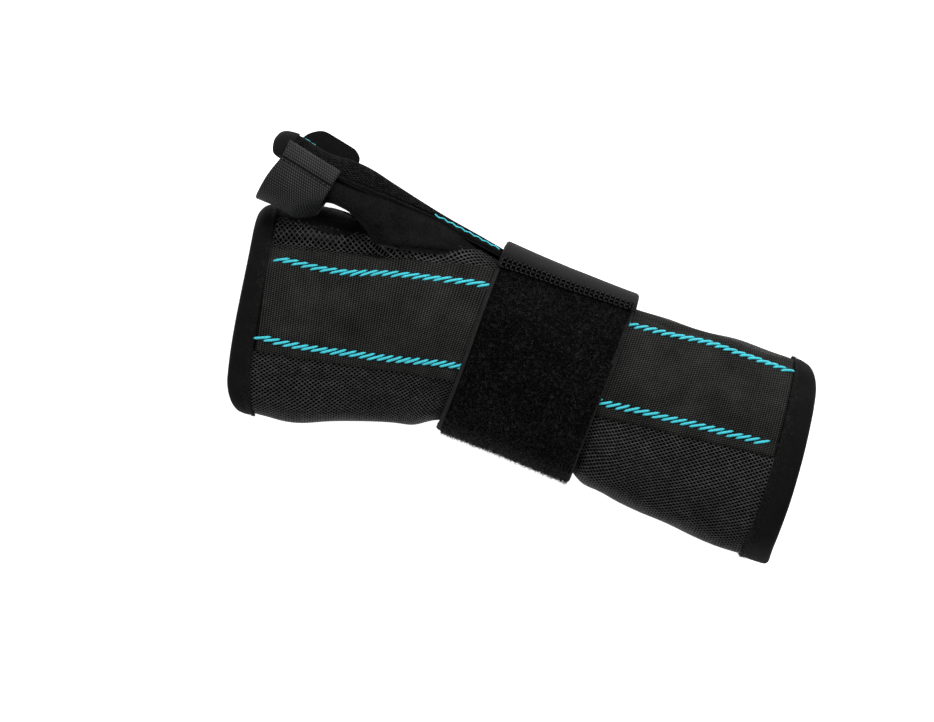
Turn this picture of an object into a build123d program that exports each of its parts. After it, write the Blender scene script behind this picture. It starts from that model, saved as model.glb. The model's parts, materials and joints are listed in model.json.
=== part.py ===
from build123d import *
from math import atan2, cos, radians, sin, sqrt, tan
import os

# Right-hand wrist splint with a thumb guard, lying palm up on the flat underside of its wrist strap.
# X runs along the forearm (fingers at -X), Y across it (thumb at +Y), Z up. Millimetres.

# ---- fabric build-up, measured outward from the lining's outer face -------------------------
LINING = 2.0            # spacer lining of the sleeve
GAP = 0.25              # clear distance between two layers
MESH = 1.2              # outer mesh panels
POCKET = 2.65           # height of a stay pocket over the lining
POCKET_SKIN = 0.8       # cloth of a stay pocket
STAY = 1.5              # thickness of a metal stay
THREAD = 0.3            # decorative stitching stands this much above the pocket
BIND_OUT = 2.6          # bindings reach this far out
BIND_IN = 3.1           # and this far in
BIND_CLOTH = 0.9

# ---- ends of the sleeve ---------------------------------------------------------------------
DISTAL = (-118.9, -21.9)        # centre of the finger end
DISTAL_YAW = 11.4               # that end is cut nearly square to the hand, which turns from the forearm
DISTAL_BIND = 8.6
PROXIMAL = (110.9, -4.0)        # centre of the elbow end
PROXIMAL_YAW = 6.3
PROXIMAL_BIND = 11.0

# ---- sleeve sections: x, y, yaw, half width, height, underside, lower radius, shoulder radius ---
SLEEVE = (
    (-127.0, -24.3, 12.0, 37.2, 31.9, 4.3, 12.8, 14.8),
    (-112.0, -20.9, 13.2, 38.2, 33.5, 4.3, 13.0, 15.0),
    (-98.0, -17.5, 14.0, 39.5, 36.0, 4.3, 14.0, 16.0),
    (-80.0, -12.5, 13.0, 39.5, 39.5, 4.5, 15.5, 17.5),
    (-60.0, -6.6, 10.0, 38.0, 42.0, 4.8, 17.0, 19.0),
    (-43.0, -3.2, 5.0, 36.0, 43.0, 5.0, 18.0, 20.0),
    (-31.0, -1.0, 0.0, 33.2, 43.0, 5.0, 18.0, 20.0),
    (0.0, -1.0, 0.0, 33.2, 43.0, 5.0, 18.0, 20.0),
    (31.0, -1.0, 0.0, 33.2, 43.0, 5.0, 18.0, 20.0),
    (42.0, -3.0, 0.0, 35.9, 44.0, 4.8, 18.5, 20.5),
    (57.0, -3.5, 0.5, 36.9, 46.0, 4.5, 19.5, 21.5),
    (78.0, -3.6, 2.5, 38.3, 49.0, 4.3, 20.5, 22.5),
    (97.0, -3.8, 5.0, 38.9, 51.0, 4.2, 21.5, 23.5),
    (110.9, -4.0, 6.3, 37.6, 52.0, 4.2, 21.5, 23.5),
    (118.0, -4.6, 6.3, 37.2, 52.3, 4.2, 21.5, 23.5),
)

# ---- thumb tube: distance along the thumb, height of its axis, lining radius ----------------
THUMB_AIM = 11.0                        # thumb leans this far off the forearm line
THUMB_FROM = (-113.0, 36.0, 117.8)      # a point of the axis and its distance along it
THUMB_LINING = 1.5
THUMB = (
    (140.0, 38.0, 11.0),
    (128.0, 38.0, 11.0),
    (114.0, 38.0, 11.0),
    (104.0, 38.0, 11.2),
    (97.0, 37.4, 12.2),
    (86.0, 35.4, 13.6),
    (60.0, 28.6, 13.8),
    (45.0, 26.4, 12.6),
    (34.0, 25.6, 11.0),
    (27.0, 25.4, 10.3),
)
THUMB_TIP = 131.6
# guard sections: distance, axis height, radial shift, inner radius, lower angle, upper angle
GUARD = (
    (135.6, 38.0, 0.0, 11.25, -75.0, 55.0),
    (128.0, 38.0, 0.0, 11.25, -75.0, 55.0),
    (114.0, 38.0, 0.0, 11.25, -75.0, 55.0),
    (104.0, 38.0, 2.2, 11.6, -75.0, 55.0),
    (97.0, 37.4, 2.0, 12.6, -74.0, 53.0),
    (86.0, 35.4, 0.4, 14.0, -68.0, 46.0),
    (60.0, 28.6, 0.0, 14.3, -48.0, 32.0),
    (45.0, 27.4, 0.0, 14.9, -36.0, 28.0),
    (35.2, 26.8, 0.0, 15.1, -30.0, 24.0),
)
GUARD_LINING = 0.7
GUARD_THICK = 2.3
THUMB_STAY = 0.9

# ---- thumb strap ----------------------------------------------------------------------------
TSTRAP = (106.7, 131.2)                 # its two edges along the thumb
TSTRAP_IN = 14.4
TSTRAP_THICK = 1.2
TSTRAP_CENTRE = (0.5, -0.4)             # its loop against the thumb's axis: radial, up
TSTRAP_START = 58.0                     # angle of the sewn end
TSTRAP_HINGE = 250.0                    # angle where the free end starts
TSTRAP_TAB = 19.8                       # free end reaches this far past the axis

# ---- wrist strap ----------------------------------------------------------------------------
STRAP_HALF = 28.6                       # half its width along the forearm
STRAP_REST = 3.45                       # its inner face sits this far outside the sleeve's lining
STRAP_BACK = 1.55
STRAP_PILE = 2.4
TAB_REST = 2.35                         # the tab's inner face, over the strap's inner face
TAB_THICK = 1.6
HOOK = 0.6
STRAP_SPLIT = 23.0                      # height where the palm flap leaves the back band
LANDING_TOP = 29.0                      # loop landing on the radial side reaches this height
SEAM_Y = (29.6, 34.0)                   # ladder seam between the pile flap and the hook tab
TAB_END = 15.0                          # height of the hook tab's free edge

# ---- palm pocket: its two edges in plan -----------------------------------------------------
PALM_RADIAL = ((-150.0, -3.0), (-112.0, 6.6), (-71.0, 16.6), (-30.0, 27.0), (31.0, 31.2), (125.0, 34.6))
PALM_ULNAR = ((-150.0, -45.0), (-104.0, -35.0), (-66.0, -26.8), (-30.0, -19.0), (31.0, -11.8), (125.0, -0.5))
DORSAL_LINE = ((-150.0, -31.0), (-112.0, -20.9), (-80.0, -12.5), (-43.0, -3.2), (0.0, -1.6), (125.0, -5.0))
DORSAL_HALF = 14.0
LINE_INSET = 5.6                        # stitch line to pocket edge
STAY_INSET = 8.2


def square_to(point, yaw, inset=0.0):
    """Vertical plane across the limb through a plan point, moved along the limb by inset."""
    c, s = cos(radians(yaw)), sin(radians(yaw))
    return Plane(origin=(point[0] + inset * c, point[1] + inset * s, 0), x_dir=(-s, c, 0), z_dir=(c, s, 0))


def dome(plane, y, a, h, bottom, r1, r2):
    """Oval section: flat underside, lower corners, shoulders and a crown, all tangent."""
    rise = h - r1
    r3 = ((a - r2) ** 2 + rise**2 - r2**2) / (2 * (rise - r2))
    lean = atan2(r3 - rise, a - r2)
    wide = bottom + r1
    with BuildSketch(plane) as sec:
        with BuildLine():
            for side in (-1, 1):
                low, flank = (y + side * (a - r1), bottom), (y + side * a, wide)
                mid = (y + side * (a - r1 * (1 - sqrt(0.5))), wide - r1 * sqrt(0.5))
                ThreePointArc(low, mid, flank)
                up = (y + side * (a - r2 + r2 * cos(lean)), wide + r2 * sin(lean))
                half = (y + side * (a - r2 + r2 * cos(lean / 2)), wide + r2 * sin(lean / 2))
                ThreePointArc(flank, half, up)
            Line((y - a + r1, bottom), (y + a - r1, bottom))
            x3 = r3 * cos(lean)
            z3 = wide + rise - r3 + r3 * sin(lean)
            ThreePointArc((y - x3, z3), (y, wide + rise), (y + x3, z3))
        make_face()
    return sec.sketch


def sleeve(grow):
    """Sleeve sections, each grown outward by the same amount."""
    return [
        dome(square_to((x, y), yaw), 0, a + grow, h + 2 * grow, b - grow, r1 + grow, r2 + grow)
        for x, y, yaw, a, h, b, r1, r2 in SLEEVE
    ]


def thumb_plane(t, z):
    """Plane across the thumb; its x points to the radial side and its y up."""
    c, s = cos(radians(THUMB_AIM)), sin(radians(THUMB_AIM))
    d = t - THUMB_FROM[2]
    return Plane(origin=(THUMB_FROM[0] - d * c, THUMB_FROM[1] + d * s, z), x_dir=(s, c, 0), z_dir=(c, -s, 0))


def thumb(grow):
    """Round thumb sections, each grown outward."""
    rings = []
    for t, z, r in THUMB:
        with BuildSketch(thumb_plane(t, z)) as ring:
            Circle(r + grow)
        rings.append(ring.sketch)
    return rings


def trough(low, high, trim=0.0):
    """Guard sections: part rings between two radii, their long edges drawn in by trim."""
    rings = []
    for t, z, shift, r, a0, a1 in GUARD:
        b0, b1 = a0 + trim * 4.0, a1 - trim * 4.0
        with BuildSketch(thumb_plane(t, z)) as ring:
            arc_band((shift, 0), r + low, r + high, b0, b1)
        rings.append(ring.sketch)
    return rings


def arc_band(centre, r_in, r_out, a0, a1):
    """Part ring between two radii and two angles, drawn in the current sketch."""
    def at(r, a):
        return (centre[0] + r * cos(radians(a)), centre[1] + r * sin(radians(a)))

    with BuildLine() as edge:
        ThreePointArc(at(r_in, a0), at(r_in, (a0 + a1) / 2), at(r_in, a1))
        Line(at(r_in, a1), at(r_out, a1))
        ThreePointArc(at(r_out, a1), at(r_out, (a0 + a1) / 2), at(r_out, a0))
        Line(at(r_out, a0), at(r_in, a0))
    make_face(edge.line)



def plan_strip(edge_a, shift_a, edge_b, shift_b, z0, z1, ends=(0.0, 0.0)):
    """Upright slab between two plan curves, each moved across, cut square to the sleeve's ends."""
    side_a = [(x, y + shift_a) for x, y in edge_a]
    side_b = [(x, y + shift_b) for x, y in reversed(edge_b)]
    with BuildPart() as slab:
        with BuildSketch(Plane.XY.offset(z0)):
            with BuildLine():
                Spline(side_a)
                Line(side_a[-1], side_b[0])
                Spline(side_b)
                Line(side_b[-1], side_a[0])
            make_face()
        extrude(amount=z1 - z0)
        split(bisect_by=square_to(DISTAL, DISTAL_YAW, ends[0]), keep=Keep.TOP)
        split(bisect_by=square_to(PROXIMAL, PROXIMAL_YAW, -ends[1]), keep=Keep.BOTTOM)
    return slab.part


def finish(builder, label):
    """Name a finished piece and write it out."""
    builder.part.label = label
    export_step(builder.part, f"parts/{label}.step")


os.makedirs("parts", exist_ok=True)

# ---- shapes that several pieces are cut from ------------------------------------------------
MID = 26.0                              # height that parts the palm side from the back
TOP, FLOOR = 90.0, -10.0
FAR_RADIAL = ((-150.0, 90.0), (125.0, 90.0))
FAR_ULNAR = ((-150.0, -110.0), (125.0, -90.0))
EDGE = 1.2                              # layers stop this far inside a bound end
STITCHED = GAP + POCKET

core_mesh = sleeve(GAP)
skin_mesh = sleeve(GAP + MESH)
skin_pocket = sleeve(STITCHED)
WEB_SEAM = ((-150.0, 14.0), (-118.0, 15.6), (-102.0, 19.9), (-75.0, 25.0), (-54.0, 29.8), (-38.0, 34.5))
WEB_FAR = ((-150.0, 80.0), (-38.0, 80.0))

# ---- sleeve lining, one cloth with its thumb tube -------------------------------------------
with BuildPart() as lining_sleeve:
    loft(sections=sleeve(0))
    split(bisect_by=square_to(DISTAL, DISTAL_YAW, EDGE), keep=Keep.TOP)
    split(bisect_by=square_to(PROXIMAL, PROXIMAL_YAW, -EDGE), keep=Keep.BOTTOM)
    loft(sections=thumb(0), ruled=True)
    split(bisect_by=thumb_plane(THUMB_TIP, 0), keep=Keep.TOP)
    loft(sections=sleeve(-LINING), mode=Mode.SUBTRACT)
    loft(sections=thumb(-THUMB_LINING), ruled=True, mode=Mode.SUBTRACT)
finish(lining_sleeve, "lining_sleeve")

# ---- outer mesh, two panels that meet the pockets on the palm and on the back ----------------
with BuildPart() as ulnar_side:
    add(plan_strip(PALM_ULNAR, -0.4, FAR_ULNAR, 0, MID, TOP, (EDGE, EDGE)))
    add(plan_strip(DORSAL_LINE, -DORSAL_HALF - 0.4, FAR_ULNAR, 0, FLOOR, MID, (EDGE, EDGE)))
with BuildPart() as mesh_panel_ulnar:
    loft(sections=skin_mesh)
    loft(sections=core_mesh, mode=Mode.SUBTRACT)
    add(ulnar_side.part, mode=Mode.INTERSECT)
finish(mesh_panel_ulnar, "mesh_panel_ulnar")

with BuildPart() as radial_side:
    add(plan_strip(PALM_RADIAL, 0.4, FAR_RADIAL, 0, MID, TOP, (EDGE, EDGE)))
    add(plan_strip(DORSAL_LINE, DORSAL_HALF + 0.4, FAR_RADIAL, 0, FLOOR, MID, (EDGE, EDGE)))
with BuildPart() as mesh_panel_radial:
    loft(sections=skin_mesh)
    loft(sections=core_mesh, mode=Mode.SUBTRACT)
    add(radial_side.part, mode=Mode.INTERSECT)
    add(plan_strip(WEB_SEAM, -0.2, WEB_FAR, 0, MID, TOP), mode=Mode.SUBTRACT)
    loft(sections=thumb(GAP + 0.2), ruled=True, mode=Mode.SUBTRACT)
finish(mesh_panel_radial, "mesh_panel_radial")

# ---- stretch gusset over the web of the thumb -------------------------------------------------
with BuildPart() as thumb_gusset:
    loft(sections=sleeve(GAP + GUARD_LINING))
    split(bisect_by=square_to(DISTAL, DISTAL_YAW, EDGE), keep=Keep.TOP)
    loft(sections=thumb(GAP + GUARD_LINING), ruled=True)
    split(bisect_by=thumb_plane(THUMB_TIP, 0), keep=Keep.TOP)
    loft(sections=core_mesh, mode=Mode.SUBTRACT)
    loft(sections=thumb(GAP), ruled=True, mode=Mode.SUBTRACT)
    add(plan_strip(WEB_SEAM, 0.2, WEB_FAR, 0, MID + 0.3, TOP, (-9.0, 0)), mode=Mode.INTERSECT)
    loft(sections=trough(-0.4, 6.0, trim=-0.4), ruled=True, mode=Mode.SUBTRACT)
finish(thumb_gusset, "thumb_gusset")


# ---- stay pockets: a raised cloth channel, closed all round, with a bent stay inside ----------
def pocket(edge_a, edge_b, z0, z1, ends):
    """Raised pocket cloth between two plan edges."""
    inner_a, inner_b = (edge_a[0], edge_a[1] - LINE_INSET), (edge_b[0], edge_b[1] + LINE_INSET)
    with BuildPart() as room:
        loft(sections=sleeve(STITCHED - POCKET_SKIN))
        add(plan_strip(*inner_a, *inner_b, z0 - 1, z1 + 1, (ends[0] + 5, ends[1] + 5)), mode=Mode.INTERSECT)
    with BuildPart() as cloth:
        loft(sections=skin_pocket)
        loft(sections=core_mesh, mode=Mode.SUBTRACT)
        add(plan_strip(*edge_a, *edge_b, z0, z1, ends), mode=Mode.INTERSECT)
        add(room.part, mode=Mode.SUBTRACT)
        loft(sections=thumb(GAP), ruled=True, mode=Mode.SUBTRACT)
    return cloth.part


def layer(low, high, edge_a, edge_b, z0, z1, ends):
    """Piece of one layer of the sleeve between two plan edges."""
    with BuildPart() as cloth:
        loft(sections=sleeve(high))
        loft(sections=sleeve(low), mode=Mode.SUBTRACT)
        add(plan_strip(*edge_a, *edge_b, z0, z1, ends), mode=Mode.INTERSECT)
    return cloth.part


PALM_ENDS = (DISTAL_BIND + 0.4, PROXIMAL_BIND + 0.4)
DORSAL_ENDS = (DISTAL_BIND + 12.0, PROXIMAL_BIND + 14.0)
STAY_IN, STAY_OUT = GAP + 0.1, STITCHED - POCKET_SKIN - 0.1
CAP = 12.0                              # length of a stay's soft end cap
POCKETS = {
    "palmar": ((PALM_RADIAL, 0.0), (PALM_ULNAR, 0.0), MID, TOP, PALM_ENDS),
    "dorsal": ((DORSAL_LINE, DORSAL_HALF), (DORSAL_LINE, -DORSAL_HALF), FLOOR, MID - 8, DORSAL_ENDS),
}
for side, (edge_a, edge_b, z0, z1, ends) in POCKETS.items():
    with BuildPart() as pocket_cover:
        add(pocket(edge_a, edge_b, z0, z1, ends))
    finish(pocket_cover, f"{side}_pocket_cover")

    stay_a, stay_b = (edge_a[0], edge_a[1] - STAY_INSET), (edge_b[0], edge_b[1] + STAY_INSET)
    inside = tuple(e + 6.0 for e in ends)
    bare = tuple(e + 1.0 for e in inside)
    with BuildPart() as stay:
        add(layer(STAY_IN + 0.2, STAY_OUT - 0.2, stay_a, stay_b, z0, z1, bare))
    finish(stay, f"{side}_stay")

    cap_a, cap_b = (stay_a[0], stay_a[1] + 1.2), (stay_b[0], stay_b[1] - 1.2)
    middle = tuple(e + CAP for e in inside)
    with BuildPart() as stay_caps:
        add(layer(STAY_IN, STAY_OUT, cap_a, cap_b, z0, z1, inside))
        add(plan_strip(*cap_a, *cap_b, z0 - 2, z1 + 2, middle), mode=Mode.SUBTRACT)
        add(layer(STAY_IN + 0.18, STAY_OUT - 0.18, (stay_a[0], stay_a[1] + 0.02),
                  (stay_b[0], stay_b[1] - 0.02), z0, z1, bare), mode=Mode.SUBTRACT)
    finish(stay_caps, f"{side}_stay_caps")

# ---- decorative stitch lines along the palm pocket --------------------------------------------
LINE_HALF = 0.7
line_ends = (PALM_ENDS[0] + 0.5, PALM_ENDS[1] + 0.5)
LINES = {"radial": (PALM_RADIAL, -LINE_INSET), "ulnar": (PALM_ULNAR, LINE_INSET)}
for side, (edge, shift) in LINES.items():
    with BuildPart() as stitch_line:
        add(layer(STITCHED + 0.03, STITCHED + THREAD, (edge, shift + LINE_HALF), (edge, shift - LINE_HALF),
                  MID, TOP, line_ends))
    finish(stitch_line, f"stitch_line_{side}")

# ---- bindings folded over both ends of the sleeve ---------------------------------------------
ENDS = {
    "distal": (square_to(DISTAL, DISTAL_YAW), square_to(DISTAL, DISTAL_YAW, DISTAL_BIND), Keep.TOP,
               square_to(DISTAL, DISTAL_YAW, BIND_CLOTH)),
    "proximal": (square_to(PROXIMAL, PROXIMAL_YAW), square_to(PROXIMAL, PROXIMAL_YAW, -PROXIMAL_BIND),
                 Keep.BOTTOM, square_to(PROXIMAL, PROXIMAL_YAW, -BIND_CLOTH)),
}
for side, (rim, hem, keep, fold) in ENDS.items():
    other = Keep.BOTTOM if keep == Keep.TOP else Keep.TOP
    with BuildPart() as groove:
        loft(sections=sleeve(BIND_OUT - BIND_CLOTH))
        loft(sections=sleeve(BIND_CLOTH - BIND_IN), mode=Mode.SUBTRACT)
        split(bisect_by=fold, keep=keep)
    with BuildPart() as binding:
        loft(sections=sleeve(BIND_OUT))
        loft(sections=sleeve(-BIND_IN), mode=Mode.SUBTRACT)
        split(bisect_by=rim, keep=keep)
        split(bisect_by=hem, keep=other)
        add(groove.part, mode=Mode.SUBTRACT)
    finish(binding, f"{side}_binding")

# ---- thumb guard: lining, stay and mesh cover, with a bound tip -------------------------------
with BuildPart() as thumb_guard_lining:
    loft(sections=trough(0, GUARD_LINING), ruled=True)
    loft(sections=sleeve(STITCHED - 0.9), mode=Mode.SUBTRACT)
    loft(sections=thumb(0.15), ruled=True, mode=Mode.SUBTRACT)
finish(thumb_guard_lining, "thumb_guard_lining")

with BuildPart() as guard_room:
    loft(sections=trough(0.3, GUARD_THICK - 0.45, trim=1.6), ruled=True)
    split(bisect_by=thumb_plane(GUARD[0][0] - 4.0, 0), keep=Keep.TOP)
    split(bisect_by=thumb_plane(GUARD[-1][0] + 6.0, 0), keep=Keep.BOTTOM)
with BuildPart() as thumb_guard_shell:
    loft(sections=trough(GUARD_LINING + 0.05, GUARD_THICK), ruled=True)
    loft(sections=sleeve(STITCHED - 0.9), mode=Mode.SUBTRACT)
    add(guard_room.part, mode=Mode.SUBTRACT)
finish(thumb_guard_shell, "thumb_guard_shell")

with BuildPart() as thumb_stay:
    loft(sections=trough(GUARD_LINING + 0.15, GUARD_LINING + 0.15 + THUMB_STAY, trim=2.2), ruled=True)
    split(bisect_by=thumb_plane(GUARD[0][0] - 6.0, 0), keep=Keep.TOP)
    split(bisect_by=thumb_plane(GUARD[-1][0] + 12.0, 0), keep=Keep.BOTTOM)
finish(thumb_stay, "thumb_stay")

tip_t, tip_z, _, tip_r, tip_low, tip_high = GUARD[0]
with BuildPart() as thumb_guard_binding:
    with BuildSketch(thumb_plane(tip_t + 1.2, tip_z)):
        arc_band((0, 0), tip_r - 0.95, tip_r + GUARD_THICK + 0.8, tip_low - 4.5, tip_high + 4.5)
    extrude(amount=5.0)
    with BuildSketch(thumb_plane(tip_t + 0.25, tip_z)):
        arc_band((0, 0), tip_r - 0.15, tip_r + GUARD_THICK + 0.1, tip_low - 0.8, tip_high + 0.8)
    extrude(amount=8.0, mode=Mode.SUBTRACT)
    fillet(thumb_guard_binding.faces().sort_by(Axis.X)[0].outer_wire().edges().filter_by(GeomType.LINE), 1.2)
finish(thumb_guard_binding, "thumb_guard_binding")

with BuildPart() as thumb_guard_loop:
    with BuildSketch(thumb_plane(TSTRAP[1] - 1.0, tip_z)):
        arc_band((0, 0), tip_r + GUARD_THICK + 0.12, tip_r + GUARD_THICK + 0.5, tip_low + 1.0, -50.0)
    extrude(amount=15.5)
finish(thumb_guard_loop, "thumb_guard_loop_patch")

# ---- thumb strap: sewn to the guard, round the thumb, and back to a peeling free end -----------
strap_c, strap_out = TSTRAP_CENTRE, TSTRAP_IN + TSTRAP_THICK
strap_width = TSTRAP[1] - TSTRAP[0]
with BuildPart() as thumb_strap:
    with BuildSketch(thumb_plane(TSTRAP[1], tip_z)):
        arc_band(strap_c, TSTRAP_IN, strap_out, TSTRAP_START, TSTRAP_HINGE - 0.8)
    extrude(amount=strap_width)
finish(thumb_strap, "thumb_strap")

with BuildPart() as thumb_strap_end:
    with BuildSketch(thumb_plane(TSTRAP[1], tip_z)):
        arc_band(strap_c, TSTRAP_IN, strap_out, TSTRAP_HINGE + 0.8, 270.0)
        with Locations((strap_c[0] - 0.01, strap_c[1] - strap_out)):
            Rectangle(TSTRAP_TAB - strap_c[0], TSTRAP_THICK, align=(Align.MIN, Align.MIN))
    extrude(amount=strap_width)
    fillet(thumb_strap_end.edges().filter_by(Axis.Z).sort_by(Axis.Y)[-2:], 6.0)
finish(thumb_strap_end, "thumb_strap_end")

with BuildPart() as thumb_strap_hook:
    with BuildSketch(thumb_plane(TSTRAP[1] - 2.0, tip_z)):
        with Locations((strap_c[0], strap_c[1] - TSTRAP_IN + 0.03)):
            Rectangle(13.0, 0.45, align=(Align.MIN, Align.MIN))
    extrude(amount=strap_width - 4.0)
finish(thumb_strap_hook, "thumb_strap_hook_patch")

# ---- wrist strap: back band, palm flap of loop pile, and a hook tab down the radial side -------
across = Plane(origin=(-STRAP_HALF, 0, 0), x_dir=(0, 1, 0), z_dir=(1, 0, 0))


def bed(grow):
    """Section through the wrist strap, grown outward from its inner face."""
    x, y, yaw, a, h, b, r1, r2 = SLEEVE[len(SLEEVE) // 2]
    g = STRAP_REST + grow
    return dome(across, y, a + g, h + 2 * g, b - g, r1 + g, r2 + g)


def keep_box(y0, y1, z0, z1):
    """Long box over the strap between two widths and two heights."""
    with BuildPart() as box:
        with BuildSketch(across):
            with Locations(((y0 + y1) / 2, (z0 + z1) / 2)):
                Rectangle(y1 - y0, z1 - z0)
        extrude(amount=2 * STRAP_HALF)
    return box.part


with BuildPart() as low_part:
    add(keep_box(-70, 0, -5, STRAP_SPLIT - 0.2))
    add(keep_box(0, 70, -5, LANDING_TOP))
with BuildPart() as wrist_strap_back:
    extrude(bed(STRAP_BACK), amount=2 * STRAP_HALF)
    extrude(bed(0), amount=2 * STRAP_HALF, mode=Mode.SUBTRACT)
    add(low_part.part, mode=Mode.INTERSECT)
finish(wrist_strap_back, "wrist_strap_back")

with BuildPart() as wrist_strap_pile:
    extrude(bed(STRAP_PILE), amount=2 * STRAP_HALF)
    extrude(bed(0), amount=2 * STRAP_HALF, mode=Mode.SUBTRACT)
    add(keep_box(-70, SEAM_Y[1], STRAP_SPLIT + 0.2, 90), mode=Mode.INTERSECT)
finish(wrist_strap_pile, "wrist_strap_pile")

with BuildPart() as wrist_strap_seam:
    extrude(bed(TAB_REST + TAB_THICK), amount=2 * STRAP_HALF)
    extrude(bed(STRAP_PILE + 0.05), amount=2 * STRAP_HALF, mode=Mode.SUBTRACT)
    add(keep_box(SEAM_Y[0], SEAM_Y[1], STRAP_SPLIT, 90), mode=Mode.INTERSECT)
finish(wrist_strap_seam, "wrist_strap_seam")

widest = SLEEVE[len(SLEEVE) // 2]
tab_side = widest[1] + widest[3] + STRAP_REST + TAB_REST
wide_z = widest[5] + widest[6]
with BuildPart() as wrist_strap_tab:
    extrude(bed(TAB_REST + TAB_THICK), amount=2 * STRAP_HALF)
    extrude(bed(TAB_REST), amount=2 * STRAP_HALF, mode=Mode.SUBTRACT)
    add(keep_box(SEAM_Y[1] + 0.4, 70, wide_z, 90), mode=Mode.INTERSECT)
    add(keep_box(tab_side, tab_side + TAB_THICK, TAB_END, wide_z))
finish(wrist_strap_tab, "wrist_strap_tab")

with BuildPart() as wrist_strap_hook:
    extrude(bed(TAB_REST - 0.04), amount=2 * STRAP_HALF)
    extrude(bed(TAB_REST - HOOK), amount=2 * STRAP_HALF, mode=Mode.SUBTRACT)
    add(keep_box(SEAM_Y[1], 70, wide_z, LANDING_TOP - 0.5), mode=Mode.INTERSECT)
    add(keep_box(tab_side - HOOK, tab_side - 0.04, TAB_END + 1.0, wide_z))
finish(wrist_strap_hook, "wrist_strap_hook_patch")
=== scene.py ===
"""Right-hand wrist splint with a thumb guard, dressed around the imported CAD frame.

Shapes are worked out in millimetres and turned into metres when a mesh is made.
Frame: fingers at -X, thumb at +Y, palm up (+Z).
"""
import json
from math import cos, pi, radians, sin

import bmesh
import bpy
import numpy as np
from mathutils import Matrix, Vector

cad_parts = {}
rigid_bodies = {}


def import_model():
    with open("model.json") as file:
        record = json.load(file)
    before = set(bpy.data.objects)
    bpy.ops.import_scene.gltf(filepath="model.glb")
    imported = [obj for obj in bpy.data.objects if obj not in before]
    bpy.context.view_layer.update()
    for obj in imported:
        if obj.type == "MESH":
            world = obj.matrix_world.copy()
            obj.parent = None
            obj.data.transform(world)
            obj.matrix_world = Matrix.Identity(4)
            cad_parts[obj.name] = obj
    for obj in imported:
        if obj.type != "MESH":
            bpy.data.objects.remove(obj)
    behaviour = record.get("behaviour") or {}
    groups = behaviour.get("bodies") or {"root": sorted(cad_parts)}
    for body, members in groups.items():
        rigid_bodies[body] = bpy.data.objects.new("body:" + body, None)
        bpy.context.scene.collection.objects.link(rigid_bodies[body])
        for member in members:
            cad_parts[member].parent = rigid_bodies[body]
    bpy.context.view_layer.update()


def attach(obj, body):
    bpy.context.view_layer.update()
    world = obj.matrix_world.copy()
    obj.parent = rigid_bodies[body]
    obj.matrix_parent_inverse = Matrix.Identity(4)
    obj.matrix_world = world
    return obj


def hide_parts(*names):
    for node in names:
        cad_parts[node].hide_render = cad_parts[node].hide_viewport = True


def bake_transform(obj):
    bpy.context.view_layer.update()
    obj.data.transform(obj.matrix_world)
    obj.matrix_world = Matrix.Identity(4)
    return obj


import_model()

MM = 0.001

# ---- the sleeve's shape, as in the CAD --------------------------------------------------------
# x of the section, y, yaw, half width, height, underside, lower radius, shoulder radius
SLEEVE = np.array((
    (-127.0, -24.3, 12.0, 37.2, 31.9, 4.3, 12.8, 14.8),
    (-112.0, -20.9, 13.2, 38.2, 33.5, 4.3, 13.0, 15.0),
    (-98.0, -17.5, 14.0, 39.5, 36.0, 4.3, 14.0, 16.0),
    (-80.0, -12.5, 13.0, 39.5, 39.5, 4.5, 15.5, 17.5),
    (-60.0, -6.6, 10.0, 38.0, 42.0, 4.8, 17.0, 19.0),
    (-43.0, -3.2, 5.0, 36.0, 43.0, 5.0, 18.0, 20.0),
    (-31.0, -1.0, 0.0, 33.2, 43.0, 5.0, 18.0, 20.0),
    (0.0, -1.0, 0.0, 33.2, 43.0, 5.0, 18.0, 20.0),
    (31.0, -1.0, 0.0, 33.2, 43.0, 5.0, 18.0, 20.0),
    (42.0, -3.0, 0.0, 35.9, 44.0, 4.8, 18.5, 20.5),
    (57.0, -3.5, 0.5, 36.9, 46.0, 4.5, 19.5, 21.5),
    (78.0, -3.6, 2.5, 38.3, 49.0, 4.3, 20.5, 22.5),
    (97.0, -3.8, 5.0, 38.9, 51.0, 4.2, 21.5, 23.5),
    (110.9, -4.0, 6.3, 37.6, 52.0, 4.2, 21.5, 23.5),
    (118.0, -4.6, 6.3, 37.2, 52.3, 4.2, 21.5, 23.5),
))
DISTAL_T, PROXIMAL_T = -118.9, 110.9
DISTAL, DISTAL_YAW = (-118.9, -21.9), radians(11.4)
PROXIMAL, PROXIMAL_YAW = (110.9, -4.0), radians(6.3)
DISTAL_BIND, PROXIMAL_BIND = 8.6, 11.0

PALM_RADIAL = ((-150, -3.0), (-112, 6.6), (-71, 16.6), (-30, 27.0), (31, 31.2), (125, 34.6))
PALM_ULNAR = ((-150, -45.0), (-104, -35.0), (-66, -26.8), (-30, -19.0), (31, -11.8), (125, -0.5))
WEB_SEAM = ((-150, 14.0), (-117.3, 17.0), (-105.7, 18.6), (-99.0, 19.3), (-92.0, 20.6), (-78.0, 23.7),
            (-65.8, 26.2), (-53.7, 28.7), (-39.6, 32.6), (-30, 35.0))
LINE_INSET = 5.6
STITCH_RADIAL = ((-150, -6.2), (-113.3, 0.95), (-94.3, 3.3), (-83.8, 5.3), (-65, 11.7), (-50, 15.6),
                 (-30, 19.5), (30, 24.6), (49, 27.1), (72, 28.8), (96, 29.0), (125, 29.8))
STITCH_ULNAR = ((-150, -39.8), (-109.8, -29.6), (-99.3, -28.7), (-90.7, -27.2), (-72.6, -23.3),
                (-52.8, -18.4), (-29, -12.1), (32, -5.9), (66, -2.2), (99, 1.3), (125, 3.6))

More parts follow.
